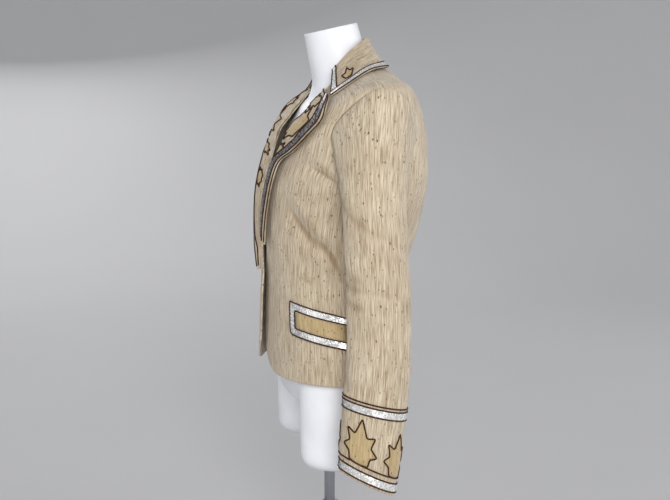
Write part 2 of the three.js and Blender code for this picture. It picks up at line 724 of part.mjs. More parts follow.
function baseDisc() {
  const { radius, edge, bevel, height, hubRadius, fillet, hubHeight, floor, lines } = BASE;
  const bore = POLE.radius + POLE.clearance;
  return lathe([
    [0, 0], [radius, 0], [radius, edge], [radius - bevel, height], [hubRadius + fillet, height],
    [hubRadius, height + fillet], [hubRadius, hubHeight], [bore, hubHeight], [bore, floor], [0, floor],
  ], lines);
}

function poleClamp() {
  const { z, radius, height, knobRadius, knobLength, knobBury } = CLAMP;
  const bore = POLE.radius + POLE.clearance;
  const ring = lathe([
    [bore, z - height / 2], [radius, z - height / 2], [radius, z + height / 2], [bore, z + height / 2],
    [bore, z - height / 2],
  ], POLE.lines);
  const knob = new THREE.CylinderGeometry(knobRadius, knobRadius, knobLength, 16);
  knob.translate(0, -(radius + knobLength / 2 - knobBury), 0);
  knob.translate(0, 0, z);
  return geometryFrom(solidOf(ring).add(solidOf(knob)));
}

const palette = {
  tweed: { color: '#c8b795', roughness: 0.85, metalness: 0 },
  band: { color: '#b9b7b0', roughness: 0.35, metalness: 0.5 },
  cord: { color: '#4a2f1c', roughness: 0.8, metalness: 0 },
  form: { color: '#e9e9ec', roughness: 0.35, metalness: 0 },
  steel: { color: '#a9abb0', roughness: 0.3, metalness: 1 },
};

const jacket = new THREE.Group();
function add(name, geometry, look) {
  const material = new THREE.MeshStandardMaterial(palette[look]);
  const mesh = new THREE.Mesh(geometry, material);
  mesh.name = name;
  jacket.add(mesh);
}

add('collar', collar(), 'tweed');
add('collar_band', collarBand(), 'band');
for (const [hand, side] of [['left', 1], ['right', -1]]) {
  add(`front_${hand}`, frontPanel(side), 'tweed');
  add(`back_${hand}`, backPanel(side), 'tweed');
  add(`sleeve_${hand}`, sleeve(side), 'tweed');
  add(`lapel_${hand}`, lapel(side), 'tweed');
  add(`lapel_band_${hand}`, lapelBand(side), 'band');
  add(`flap_${hand}`, flap(side), 'tweed');
  add(`flap_band_${hand}`, flapBand(side), 'band');
  for (const band of CUFF_BANDS) add(`cuff_band_${band.name}_${hand}`, cuffBand(side, band), 'band');
  for (let i = 0; i < CUFF_LEAF.count; i += 1) add(`cuff_leaf_${i + 1}_${hand}`, cuffLeaf(side, i), 'cord');
}
add('dress_form', dressForm(), 'form');
add('pole', pole(), 'steel');
add('pole_clamp', poleClamp(), 'steel');
add('base', baseDisc(), 'steel');

export default jacket;
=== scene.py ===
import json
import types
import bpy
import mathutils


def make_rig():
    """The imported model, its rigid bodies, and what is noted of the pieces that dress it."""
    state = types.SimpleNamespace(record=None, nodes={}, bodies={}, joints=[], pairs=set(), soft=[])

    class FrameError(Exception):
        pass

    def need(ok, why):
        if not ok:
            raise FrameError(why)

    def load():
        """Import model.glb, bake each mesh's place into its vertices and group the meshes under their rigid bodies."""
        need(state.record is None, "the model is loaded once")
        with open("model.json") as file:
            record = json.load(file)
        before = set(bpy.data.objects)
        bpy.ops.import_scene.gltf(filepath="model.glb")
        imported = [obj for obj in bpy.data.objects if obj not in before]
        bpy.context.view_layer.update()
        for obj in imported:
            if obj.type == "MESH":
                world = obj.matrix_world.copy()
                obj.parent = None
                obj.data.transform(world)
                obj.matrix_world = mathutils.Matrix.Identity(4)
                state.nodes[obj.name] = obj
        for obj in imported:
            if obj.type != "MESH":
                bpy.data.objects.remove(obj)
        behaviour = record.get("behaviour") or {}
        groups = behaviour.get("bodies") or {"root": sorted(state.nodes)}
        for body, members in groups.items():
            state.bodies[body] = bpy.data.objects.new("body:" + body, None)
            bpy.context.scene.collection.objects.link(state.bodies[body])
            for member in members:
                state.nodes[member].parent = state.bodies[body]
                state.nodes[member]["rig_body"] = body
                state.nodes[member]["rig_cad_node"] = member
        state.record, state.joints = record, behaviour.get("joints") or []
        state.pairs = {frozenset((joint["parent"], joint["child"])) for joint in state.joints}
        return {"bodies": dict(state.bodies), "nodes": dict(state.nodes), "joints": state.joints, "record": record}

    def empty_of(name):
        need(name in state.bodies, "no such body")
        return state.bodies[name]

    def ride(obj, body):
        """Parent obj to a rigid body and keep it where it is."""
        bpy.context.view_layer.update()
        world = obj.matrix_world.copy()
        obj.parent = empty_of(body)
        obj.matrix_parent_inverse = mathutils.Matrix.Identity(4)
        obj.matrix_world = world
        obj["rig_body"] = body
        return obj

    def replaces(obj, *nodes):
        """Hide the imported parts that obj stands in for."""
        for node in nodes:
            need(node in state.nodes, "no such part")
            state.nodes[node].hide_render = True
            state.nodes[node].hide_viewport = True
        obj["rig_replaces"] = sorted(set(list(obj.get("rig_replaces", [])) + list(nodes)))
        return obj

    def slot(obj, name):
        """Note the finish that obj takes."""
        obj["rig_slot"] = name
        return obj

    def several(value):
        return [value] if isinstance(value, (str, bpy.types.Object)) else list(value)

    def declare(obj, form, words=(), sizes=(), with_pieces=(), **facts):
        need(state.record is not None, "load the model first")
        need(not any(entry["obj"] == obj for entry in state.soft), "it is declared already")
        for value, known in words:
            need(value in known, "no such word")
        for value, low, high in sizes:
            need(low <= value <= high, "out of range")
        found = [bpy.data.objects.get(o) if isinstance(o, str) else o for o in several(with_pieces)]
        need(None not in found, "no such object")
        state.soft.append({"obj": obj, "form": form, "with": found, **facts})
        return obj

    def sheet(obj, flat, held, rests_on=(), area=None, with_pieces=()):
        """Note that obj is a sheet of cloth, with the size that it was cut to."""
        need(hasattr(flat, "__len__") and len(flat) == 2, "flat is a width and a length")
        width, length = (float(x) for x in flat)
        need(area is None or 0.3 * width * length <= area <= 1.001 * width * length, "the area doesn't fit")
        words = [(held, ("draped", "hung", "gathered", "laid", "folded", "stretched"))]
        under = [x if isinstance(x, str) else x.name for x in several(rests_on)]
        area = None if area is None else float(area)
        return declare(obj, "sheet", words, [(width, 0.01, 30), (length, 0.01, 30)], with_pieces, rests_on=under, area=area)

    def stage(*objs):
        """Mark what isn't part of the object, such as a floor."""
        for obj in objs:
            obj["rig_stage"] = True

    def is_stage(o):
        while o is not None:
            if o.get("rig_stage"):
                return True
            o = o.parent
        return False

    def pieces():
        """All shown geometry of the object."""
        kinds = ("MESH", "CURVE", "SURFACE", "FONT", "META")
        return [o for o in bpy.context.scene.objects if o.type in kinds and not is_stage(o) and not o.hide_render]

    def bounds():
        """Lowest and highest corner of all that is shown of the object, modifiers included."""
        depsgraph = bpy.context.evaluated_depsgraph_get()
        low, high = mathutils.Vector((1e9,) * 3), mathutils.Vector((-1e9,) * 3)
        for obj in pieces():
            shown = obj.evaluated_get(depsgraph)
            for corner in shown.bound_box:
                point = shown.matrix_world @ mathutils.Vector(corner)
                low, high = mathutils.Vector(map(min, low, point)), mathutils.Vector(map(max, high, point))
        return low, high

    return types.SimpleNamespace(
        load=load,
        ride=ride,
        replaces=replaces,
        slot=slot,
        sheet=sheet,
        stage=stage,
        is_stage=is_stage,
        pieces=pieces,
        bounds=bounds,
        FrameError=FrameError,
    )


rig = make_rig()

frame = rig.load()
cad_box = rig.bounds()

import json
import math
from functools import partial
from types import SimpleNamespace as Sizes

import bmesh
import bpy
import numpy as np
from mathutils import Matrix, Vector

# A fitted jacket on a dress form, in millimetres until mesh() makes metres of them. The front
# faces -Y, the wearer's left is +X.
MM = 0.001
CAMERA = Sizes(azimuth=77.0, elevation=8.0, distance=1910.0, focal_px=1091.0, frame_px=670)
AIM = Vector((0.0, 10.0, 592.0)) * MM
scene = bpy.context.scene
spread = np.linspace


# A direction from the object, by its angle from the front and above the floor
def toward(azimuth, elevation):
    a, e = math.radians(azimuth), math.radians(elevation)
    return Vector((math.sin(a) * math.cos(e), -math.cos(a) * math.cos(e), math.sin(e)))


# The camera, at the photograph's angle
def make_camera():
    back = toward(CAMERA.azimuth, CAMERA.elevation)
    right = toward(CAMERA.azimuth + 90, 0)
    data = bpy.data.cameras.new("camera")
    data.lens = CAMERA.focal_px / CAMERA.frame_px * data.sensor_width
    camera = bpy.data.objects.new("camera", data)
    axes = Matrix((right, back.cross(right), back)).transposed().to_4x4()
    camera.matrix_world = Matrix.Translation(AIM + back * CAMERA.distance * MM) @ axes
    scene.collection.objects.link(camera)
    scene.camera = camera


make_camera()


def table(text):
    return np.array([row.split() for row in text.strip().replace("\n", ";").split(";")], float)


CLOTH = 2.0  # the wall's thickness
SEAM = 0.3   # between two pieces
DROP = 1.4   # how steeply a ring falls off to its front and back

# side x y z, front y z, back y z, fullness
BODY = table("""
180 10 393 -114 393 136 393 0.05
168 9 460 -112 460 128 460 0.05
139 10 548 -110 548 127 548 0.04
148 16 640 -113 640 152 640 0.05
163 22 705 -108 705 163 705 0.06
168 27 758 -95 756 163 760 0.06
178 34 815 -80 799 154 818 0.05
190 42 872 -62 820 130 864 0.04
128 40 888 -48 840 108 892 0.02
68 34 905 -34 862 84 914 0
""")
NECK_RING = len(BODY) - 1
# The armhole: angle, reach to the front and back, and rings
ARMHOLE = Sizes(angle=91, front=33, back=35, low=4.78, high=7.0)
ARMHOLE.middle, ARMHOLE.half = (ARMHOLE.high + ARMHOLE.low) / 2, (ARMHOLE.high - ARMHOLE.low) / 2
# The front edge laps over by WRAP and turns into the fold line above the break: ring, angle
BREAK_RING, BREAK_SPAN, WRAP = 2.1, 0.5, 16
FOLD_LINE = table("""
2.1 1; 3 3.5; 4 6; 5 9.5; 6 12; 7 15; 8 25; 9 52
""")
CORNER_RADIUS, CORNER_ANGLE = 72, 30
# fold ring, fold angle, edge ring, edge angle, stand, roll
LAPEL = table("""
2.1 1 2.08 3 3 1
2.8 3 2.68 13.5 7 6
3.6 5 3.46 18 8 7
4.4 7 4.2 20 8 7
5 9.5 4.85 23.5 8 7
5.6 10.5 5.25 33.5 7 7
6.3 12.5 5.75 43 6 8
7.1 15.5 6.3 49 5 7
8 25 7 47 4 5
8.7 43 7.66 47.5 3 3
""")
LAPEL_LIFT = 1.1
LAPEL_FOOT, LAPEL_TOP = {1: 0.95, -1: 0.1}, len(LAPEL) - 1
# foot angle, fold x y z, edge x y z
COLLAR = table("""
54 64 -8 900 119 -25 857
68 64 7 917 122 5 877
94 59 26 935 110 44 899
136 41 52 951 72 81 906
180 0 68 956 0 98 906
""")
COLLAR_MIRROR, COLLAR_TURN = table("-1 -1 1 1 -1 1 1; 360 0 0 0 0 0 0")
COLLAR = np.vstack([COLLAR, COLLAR[-2::-1] * COLLAR_MIRROR + COLLAR_TURN])
COLLAR_END = len(COLLAR) - 1
COLLAR_FOOT = 0.9  # from the neck seam
# angle, top ring, low ring, at the front and the back
FLAP = table("39.5 1.76 1.13; 89 1.43 0.83")
FLAP_LIFT = CLOTH + 1.5
# z, x, y, half depth, half width, tilt
SLEEVE = table("""
690 211 24 51 42 -0.02
630 216 26 51 42 0.02
550 221 29 52 41 0.08
460 227 28 52 40 0.13
374 231 21 51 39 0.24
254 235 7 45.5 36 0.51
""")
CUFF = len(SLEEVE) - 1
CAP_START, CAP_START_TOP, CAP_END, CAP_END_TOP = 38.5, 31, 71, 71
CAP_MIDDLE = np.array([176.0, 36.0, 800.0])
RIM_INSET = 0.3


# Rows read at a fractional place, through every row, without a kink
def hermite(here, after, slope_here, slope_after, f):
    f2, f3 = f * f, f * f * f
    return (here * (2 * f3 - 3 * f2 + 1) + slope_here * (f3 - 2 * f2 + f)
            + after * (3 * f2 - 2 * f3) + slope_after * (f3 - f2))


def through(pick, last, at):
    t = np.clip(at, 0, last)
    i = np.minimum(np.floor(t).astype(int), last - 1)
    here, after = pick(i), pick(i + 1)
    lower, higher, f = (v.reshape(v.shape + (1,) * (here.ndim - v.ndim))
                        for v in map(np.asarray, (i > 0, i + 2 <= last, t - i)))
    slope_here = np.where(lower, (after - pick(np.maximum(i - 1, 0))) / 2, after - here)
    slope_after = np.where(higher, (pick(np.minimum(i + 2, last)) - here) / 2, after - here)
    return hermite(here, after, slope_here, slope_after, f)


def column(values, at):
    return through(lambda k: values[k], len(values) - 1, at)


def columns(rows, at):
    return (column(values, at) for values in rows.T)


def lookup(rows, at):
    return column(rows[:, 1], np.interp(at, rows[:, 0], np.arange(len(rows))))


def smooth(low, high, v):
    t = np.clip((v - low) / (high - low), 0, 1)
    return t * t * (3 - 2 * t)


def mix(a, b, t):
    return a + (b - a) * t


def cos(degrees):
    return np.cos(np.radians(degrees))


def sin(degrees):
    return np.sin(np.radians(degrees))


def size_of(v):
    return np.linalg.norm(v, axis=-1, keepdims=True)


def unit(v):
    return v / np.maximum(size_of(v), 1e-9)


# Length along a line of points, from 0 at the first
def run_along(points):
    return np.concatenate([[0], np.cumsum(size_of(np.diff(points, axis=0)))])


def stack(x, y, z):
    return np.stack(np.broadcast_arrays(x, y, z), axis=-1)


def matched(*values):
    return np.broadcast_arrays(*(np.asarray(v, float) for v in values))


# The way a surface faces, from its points a little to each side
def facing(place, a, b, step_a, step_b, ends_a, ends_b):
    one = place(np.clip(a + step_a, *ends_a), b) - place(np.clip(a - step_a, *ends_a), b)
    two = place(a, np.clip(b + step_b, *ends_b)) - place(a, np.clip(b - step_b, *ends_b))
    return unit(np.cross(one, two))


ANY = (-np.inf, np.inf)


# The body's surface. angle is 0 at the centre front, 90 at the wearer's left and 180 behind.
def ring_point(rows, angle, ring):
    angle, ring = matched(angle, ring)
    side_x, side_y, side_z, front_y, front_z, back_y, back_z, fullness = columns(rows, ring)
    c, swell = cos(angle), 1 + fullness * sin(2 * angle) ** 2
    end_y, end_z = np.where(c > 0, front_y, back_y), np.where(c > 0, front_z, back_z)
    c = np.abs(c)
    return stack(side_x * sin(angle) * swell, side_y + (end_y - side_y) * c * swell,
                 side_z + (end_z - side_z) * c ** DROP)


def body_point(angle, ring):
    return ring_point(BODY, angle, ring)


def body_normal(angle, ring):
    return facing(body_point, angle, ring, 0.5, 0.02, ANY, (0, NECK_RING))


# The large folds, which the solids have too: angle, z, length, width, lean, depth
BODY_FOLDS = table("""
52 742 120 30 -28 -5; 48 640 180 36 -50 -5; 128 610 130 32 55 -5; 152 560 100 28 15 -4
""")
ACROSS = 2.5  # millimetres of cloth for a degree of the body
# Creases given one by one: from angle z, to angle z, width, depth (below zero for a trough), bow
LEFT_CREASES = table("""
45 748 75 712 4.2 -2.6 4; 46 762 73 727 7 2.9 4; 48 734 73 699 7 2.6 4; 33 686 66 606 6.5 -2.5 -4
58 634 82 556 6.5 -2.7 5; 38 704 72 622 9 2.9 -4; 64 646 87 570 8 2.7 5; 30 664 60 586 9 2.4 -4
55 612 78 538 8 2.3 5; 46 562 60 554 3.4 -2 1; 46 572 60 565 5 1.5 1; 66 571 84 556 5 -1.4 -2
28 622 41 560 9 -1 4; 22 520 30 430 10 1.2 -5; 44 470 51 398 9 1.3 3; 70 452 66 400 9 -1.2 -3
20 800 38 778 6 -1.1 2; 70 690 84 640 8 -1.2 3; 100 700 118 655 8 -1.8 5; 98 640 126 590 7 -2 -5
104 618 132 572 8 1.3 -4; 96 566 120 548 5 -1.7 3; 128 560 150 540 6 -1.5 -3; 120 500 116 410 11 1.6 5
150 770 158 690 9 -1.3 5; 140 830 150 800 6 -1 2; 160 520 158 405 10 -1.3 3; 170 640 162 580 8 -1.2 -3
""")
RIGHT_CREASES = table("""
40 768 66 742 6 -2.2 3; 46 742 70 716 7 1.1 -3; 32 688 62 632 8 -1.9 5; 58 640 80 588 8 -2 -5
48 574 64 566 5 -1.4 2; 30 600 44 552 8 -1.2 -4; 18 500 26 415 10 1.3 5; 52 480 56 402 9 -1.2 -3
74 470 80 402 10 1.2 3; 98 690 120 640 8 -1.8 -5; 100 628 130 584 8 -1.9 5; 98 560 124 545 6 -1.6 -3
122 520 126 412 11 1.5 -5; 146 760 154 700 9 -1.3 -4; 164 560 158 470 9 -1.3 4; 172 660 160 600 8 -1.1 3
""")
DEEPER = 1.5  # creases of the body against those of the sleeves
# The same on the sleeves: from turn z, to turn z
SLEEVE_ACROSS = 0.81
SLEEVE_GIRTH = 360 * SLEEVE_ACROSS
LEFT_SLEEVE_CREASES = table("""
40 800 46 560 8 -1.6 6; 62 780 70 520 9 1.2 -5; 96 815 88 640 8 -1.3 5; 120 770 118 560 9 1.1 -5
20 640 28 480 8 -1.3 4; 150 640 138 545 8 -1.6 5; 160 600 128 552 6 -2.2 -4; 168 566 126 520 6 -1.9 4
166 540 136 500 6 1.3 3; 58 520 50 400 9 -1.2 -5; 84 500 92 380 10 1.2 5; 112 480 104 390 8 -1.2 4
24 470 34 400 8 1.1 -3; 200 640 214 520 8 -1.7 5; 232 700 240 560 9 1.3 -5; 262 660 250 540 8 -1.8 4
300 720 290 560 8 -1.5 -5; 332 640 322 500 9 1.2 4; 215 480 230 390 8 -1.3 3; 280 480 286 380 9 -1.2 -4
344 560 352 420 8 -1.2 3; 340 745 14 705 6 -1.7 3; 190 745 226 700 6 -1.6 -3; 8 330 14 262 7 0.9 2
70 350 66 275 9 -0.9 2; 196 350 188 275 8 0.9 -2
""")
RIGHT_SLEEVE_CREASES = table("""
38 790 50 590 8 -1.5 -5; 70 770 62 540 9 1.2 6; 100 800 108 620 8 -1.3 -4; 128 760 120 580 9 1 4
22 620 18 470 8 -1.4 5; 148 630 134 550 8 -1.7 -4; 158 590 124 548 6 -2 4; 166 556 130 515 6 -1.8 -3
60 500 70 395 9 -1.2 5; 94 510 88 390 10 1.2 -4; 28 460 22 395 8 1 3; 204 650 198 530 8 -1.6 -4
236 690 230 550 9 1.3 5; 268 650 276 545 8 -1.7 4; 304 700 312 550 8 -1.4 5; 222 470 212 392 8 -1.2 -3
286 470 280 385 9 -1.2 4; 350 700 12 668 6 -1.5 -3; 186 735 220 698 6 -1.5 3; 66 345 74 280 9 -0.9 -2
210 345 204 280 8 0.9 2
""")


# How far creases push the cloth out at a place across and up it
def creased(strokes, across, up, scale, girth=None):
    depth = np.zeros(np.broadcast(across, up).shape)
    for start, z0, end, z1, width, height, bow in strokes:
        if girth and end < start:
            end += 360
        x0, wide, high = start * scale, (end - start) * scale, z1 - z0
        length = math.hypot(wide, high)
        cx, cz = wide / length, high / length
        dx, dz = across - x0, up - z0
        if girth:
            dx = (dx - wide / 2 + girth / 2) % girth - girth / 2 + wide / 2
        t = (dx * cx + dz * cz) / length
        arch = 1 - (2 * t - 1) ** 2
        off = -dx * cz + dz * cx - bow * arch
        spans = width * (0.75 + 0.5 * np.clip(t, 0, 1))
        depth += height * np.clip(arch, 0, 1) ** 0.8 * np.exp(-(off / spans) ** 2)
    return depth


def big_folds(angle, z, side):
    depth = 0
    for where, height, length, width, lean, deep in BODY_FOLDS:
        across, up = (np.abs(angle) - where) * ACROSS, z - height
        along, off = across * cos(lean) + up * sin(lean), -across * sin(lean) + up * cos(lean)
        depth = depth + deep * np.exp(-(off / width) ** 2 - (2 * along / length) ** 2)
    return depth * np.where(side > 0, 1, 0.8)


def body_creases(angle, z):
    flat = (np.abs(angle) * ACROSS, z, ACROSS)
    return DEEPER * np.where(angle < 0, creased(RIGHT_CREASES, *flat), creased(LEFT_CREASES, *flat))


def sleeve_creases(side, turn, z):
    strokes = LEFT_SLEEVE_CREASES if side > 0 else RIGHT_SLEEVE_CREASES
    return creased(strokes, turn * SLEEVE_ACROSS, z, SLEEVE_ACROSS, SLEEVE_GIRTH)


# The body's cloth: the smooth ring, its folds and creases, and a lift off it
def cloth(angle, ring, lift=0.0):
    angle, ring = matched(angle, ring)
    point, normal = body_point(angle, ring), body_normal(angle, ring)
    z, side = point[..., 2], np.where(angle < 0, -1, 1)
    out = lift + big_folds(angle, z, side) + body_creases(angle, z)
    return point + normal * np.asarray(out)[..., None], normal


def degrees_for(length, angle, ring):
    return length / size_of(body_point(angle + 1, ring) - body_point(angle - 1, ring))[..., 0] * 2


def armhole_reach(ring, half):
    f = (ring - ARMHOLE.middle) / ARMHOLE.half
    return half * np.sqrt(np.clip(1 - f * f, 0, 1))


def front_edge(ring):
    wrap = -degrees_for(WRAP, 0, ring)
    return mix(wrap, lookup(FOLD_LINE, ring), smooth(BREAK_RING, BREAK_RING + BREAK_SPAN, ring))


# The right front stands off the left one where it laps over it
def lap_lift(side, angle, ring):
    if side > 0:
        return np.zeros(np.broadcast(angle, ring).shape)
    return smooth(-34, 6, angle) * mix(13, 3.5, smooth(1.6, 3.2, ring))


def panel_rings(below, beside, above):
    turned = ARMHOLE.middle + ARMHOLE.half * sin(spread(-90, 90, beside))
    return np.concatenate([spread(0, ARMHOLE.low, below + 1)[:-1], turned,
                           spread(ARMHOLE.high, NECK_RING, above + 1)[1:]])


# Length of cloth up to each ring, beside the front
RING_STEPS = spread(0, NECK_RING, 181)
RING_LENGTHS = run_along(body_point(60, RING_STEPS))


# Points and normals, then each corner's place on the flat cloth with its crease's depth, which the silk paints as
# shade in the troughs
def panel(side, angle, ring, lift=0.0):
    angle, ring = matched(side * angle, ring)
    creases = body_creases(angle, body_point(angle, ring)[..., 2])
    grain = stack(angle * 2.6, np.interp(ring, RING_STEPS, RING_LENGTHS), creases)
    return *cloth(angle, ring, lift), grain


def front_grid(side, rings, count):
    ring, fraction = rings[:, None], spread(0, 1, count)[None, :] ** 1.3
    whole = ARMHOLE.angle - degrees_for(SEAM / 2, 90, 0) - front_edge(0)
    f = np.clip(1 - whole * fraction / CORNER_ANGLE, 0, 1)
    rise = CORNER_RADIUS * (1 - np.sqrt(1 - f * f)) / (BODY[1, 2] - BODY[0, 2])
    at = ring + rise * np.maximum(0, 1 - ring / ARMHOLE.low)
    edge = front_edge(at)
    outer = ARMHOLE.angle - degrees_for(SEAM / 2, 90, at) - armhole_reach(at, ARMHOLE.front)
    angle = edge + (outer - edge) * fraction
    return panel(side, angle, at, lap_lift(side, -angle, at))


def back_grid(side, rings, count):
    ring = rings[:, None]
    start = ARMHOLE.angle + degrees_for(SEAM / 2, 90, ring) + armhole_reach(ring, ARMHOLE.back)
    middle = 180 - degrees_for(SEAM / 2, 180, ring)
    return panel(side, start + (middle - start) * spread(0, 1, count)[None, :], ring)


def armhole_point(turn):
    reach = np.where(cos(turn) > 0, ARMHOLE.front, ARMHOLE.back) * cos(turn)
    return cloth(ARMHOLE.angle - reach, ARMHOLE.middle + ARMHOLE.half * sin(turn))


def sleeve_section(turn, at):
    z, x, y, deep, wide, tilt = columns(SLEEVE, at)
    dy = -deep * cos(turn)
    return stack(x + wide * sin(turn), y + dy, z - tilt * dy)


# The left sleeve. From -1 to 0 it is the head, which leaves the armhole outwards and turns down.
def sleeve_base(turn, at):
    turn, at = matched(turn, at)
    below = sleeve_section(turn, np.maximum(at, 0))
    if not (at < 0).any():
        return below
    rim, normal = armhole_point(turn)
    start = rim + unit(CAP_MIDDLE - rim) * RIM_INSET
    up = np.maximum(sin(turn), 0)[..., None]
    leave = unit(np.array([1, 0, 0.1]) + normal * 0.6) * (CAP_START + CAP_START_TOP * up)
    end = sleeve_section(turn, 0.0 * at)
    arrive = unit(sleeve_section(turn, 0.01 + 0.0 * at) - end) * (CAP_END + CAP_END_TOP * up)
    f = np.clip(at + 1, 0, 1)[..., None]
    return np.where((at < 0)[..., None], hermite(start, end, leave, arrive, f), below)


def sleeve_cloth(side, turn, at, lift=0.0):
    turn, at = matched(turn, at)
    point = sleeve_base(turn, at)
    normal = -facing(sleeve_base, turn, at, 2, 0.02, ANY, (-1, CUFF))
    out = lift + sleeve_creases(side, turn % 360, point[..., 2])
    flip = np.array([side, 1, 1])
    return (point + normal * out[..., None]) * flip, normal * flip


def lapel_point(side, u, v, lift=0.0):
    fold_ring, fold_angle, edge_ring, edge_angle, stand, roll = columns(LAPEL, u)
    angle, ring = mix(fold_angle, edge_angle, v), mix(fold_ring, edge_ring, v)
    off = CLOTH + LAPEL_LIFT + stand * smooth(0, 1, v) + roll * np.sin(np.pi * v)
    return cloth(side * angle, ring, lap_lift(side, -angle, ring) + off + lift)


def collar_base(t, c):
    foot_angle, fx, fy, fz, ex, ey, ez = columns(COLLAR, t)
    neck = body_point(foot_angle, NECK_RING)
    foot = neck + unit(neck - body_point(foot_angle, NECK_RING - 0.1)) * COLLAR_FOOT
    fold, edge = stack(fx, fy, fz), stack(ex, ey, ez)
    out = unit((edge - foot) * np.array([1, 1, 0]))
    fall = edge - fold
    swell = unit(np.cross(stack(-out[..., 1], out[..., 0], 0.0), fall))
    rows = np.stack([
        foot, foot + (fold - foot) * 0.72 - out * 5, fold - out,
        fold + fall * 0.17 + swell * 3, fold + fall * 0.55 + swell * 4, edge,
    ])
    last = len(rows) - 1
    return through(lambda k: np.take_along_axis(rows, k[None, ..., None], axis=0)[0], last, c * last)


def collar_point(t, c, lift=0.0):
    t, c = matched(t, c)
    normal = -facing(collar_base, t, c, 0.05, 0.02, (0, COLLAR_END), (0, 1))
    return collar_base(t, c) + normal * (CLOTH + lift), normal


def flap_point(side, a, b, lift=0.0):
    angle, top, low = (mix(*ends, a) for ends in FLAP.T)
    ring = mix(top, low, b)
    return cloth(side * angle, ring, lap_lift(side, -angle, ring) + FLAP_LIFT + lift)


# Meshes. Places are in millimetres. grain gives each corner its place on the flat cloth.
def mesh(name, points, faces, material, grain=None, tone=None, smooth_faces=True):
    data = bpy.data.meshes.new(name)
    data.from_pydata((np.asarray(points) * MM).tolist(), [], faces)
    for key, kind, field, values in (("grain", ("FLOAT_VECTOR", "CORNER"), "vector", grain),
                                     ("tone", ("FLOAT", "POINT"), "value", tone)):
        if values is not None:
            data.attributes.new(key, *kind).data.foreach_set(field, np.array(values, float).ravel())
    data.polygons.foreach_set("use_smooth", [smooth_faces] * len(data.polygons))
    data.materials.append(material)
    data.validate()
    data.update()
    return placed(name, data)


def placed(name, data):
    piece = bpy.data.objects.new(name, data)
    scene.collection.objects.link(piece)
    return piece


# The four corners of each field of a grid, and a grid that closes on itself
def fields(grid):
    return np.stack([grid[:-1, :-1], grid[:-1, 1:], grid[1:, 1:], grid[1:, :-1]], 2)


def closed_round(grid, axis=1):
    return np.concatenate([grid, grid.take([0], axis)], axis)


# Each number of a closed round, and the next one
def pairs(count):
    return [(k, (k + 1) % count) for k in range(count)]


# A wall of cloth from a grid: the outer face, an inner face and softly rounded edges. It is a
# tube of that girth where girth isn't 0. turn flips a grid that is laid the other way round.
def shell(name, points, normals, grain, material, girth=0.0, turn=False, thickness=CLOTH, round_by=0.7):
    rows, cols = points.shape[:2]
    outer, inner = points.copy(), points - normals * thickness
    middle = ((outer + inner) / 2).reshape(-1, 3)
    for layer in (outer, inner):
        edges = [(layer[0], layer[1]), (layer[-1], layer[-2])]
        if not girth:
            edges += [(layer[:, 0], layer[:, 1]), (layer[:, -1], layer[:, -2])]
        for edge, neighbour in edges:
            away = neighbour - edge
            edge += unit(away) * np.minimum(round_by, size_of(away) * 0.6)
    at = 2 * rows * cols
    index = np.arange(rows * cols).reshape(rows, cols)
    outside = fields(closed_round(index) if girth else index).reshape(-1, 4)
    around = [index[0], index[-1]] if girth else [
        np.concatenate([index[0], index[1:, -1], index[-1, -2::-1], index[-2:0:-1, 0]])]
    quads = [outside, outside[:, [0, 3, 2, 1]] + rows * cols]
    for number, loop in enumerate(around):
        here = at + np.arange(len(loop))
        after, beyond = np.roll(here, -1), np.roll(loop, -1)
        strips = [np.stack([beyond, loop, here, after], 1),
                  np.stack([after, here, loop + rows * cols, beyond + rows * cols], 1)]
        quads += [strip[:, ::-1] for strip in strips] if number else strips
        at += len(loop)
    faces = np.concatenate(quads)
    if turn:
        faces = faces[:, ::-1]
    grain = grain.reshape(-1, 3)
    corners = np.concatenate([grain, grain] + [grain[loop] for loop in around])[faces.ravel()]
    if girth:  # the last strip of a tube runs on past the end of the flat cloth
        run = corners[:, 0].reshape(-1, 4)
        jump = (run.max(1) - run.min(1)) > girth / 2
        run[jump] = np.where(run[jump] < girth / 2, run[jump] + girth, run[jump])
        corners[:, 0] = run.ravel()
    verts = np.concatenate([outer.reshape(-1, 3), inner.reshape(-1, 3)] + [middle[loop] for loop in around])
    return mesh(name, verts, faces.tolist(), material, corners)


# A cord along each run of places. Its own grain runs along and around it.
def cord_mesh(runs, radius, sides=7, flat=0.85):
    verts, faces, grain, at = [], [], [], 0
    turns = spread(0, 360, sides, endpoint=False)[None, :, None]
    for path, normals, closed in runs:
        count = len(path)
        ahead = np.roll(path, -1, 0) if closed else np.vstack([path[1:], path[-1:]])
        behind = np.roll(path, 1, 0) if closed else np.vstack([path[:1], path[:-1]])
        along = unit(ahead - behind)
        side = unit(np.cross(along, normals))
        up = np.cross(side, along)
        ring = path[:, None] + radius * (side[:, None] * cos(turns) + up[:, None] * sin(turns) * flat)
        verts.append(ring.reshape(-1, 3))
        index = at + closed_round(np.arange(count * sides).reshape(count, sides))
        faces += fields(closed_round(index, 0) if closed else index).reshape(-1, 4).tolist()
        run = run_along(closed_round(path, 0) if closed else path)
        grain.append(fields(stack(run[:, None], spread(0, 1, sides + 1), 0.0)).reshape(-1, 3))
        first, at = at, at + count * sides
        if closed:
            continue
        for rim, row, forward in ((first, 0, 1), (at - sides, -1, -1)):
            verts.append(path[row][None] - along[row] * radius * 0.8 * forward)
            faces += [(rim + n, rim + k, at)[::forward] for k, n in pairs(sides)]
            grain.append(np.tile([run[row], 0, 0], (3 * sides, 1)))
            at += 1
    return np.concatenate(verts), faces, np.concatenate(grain)


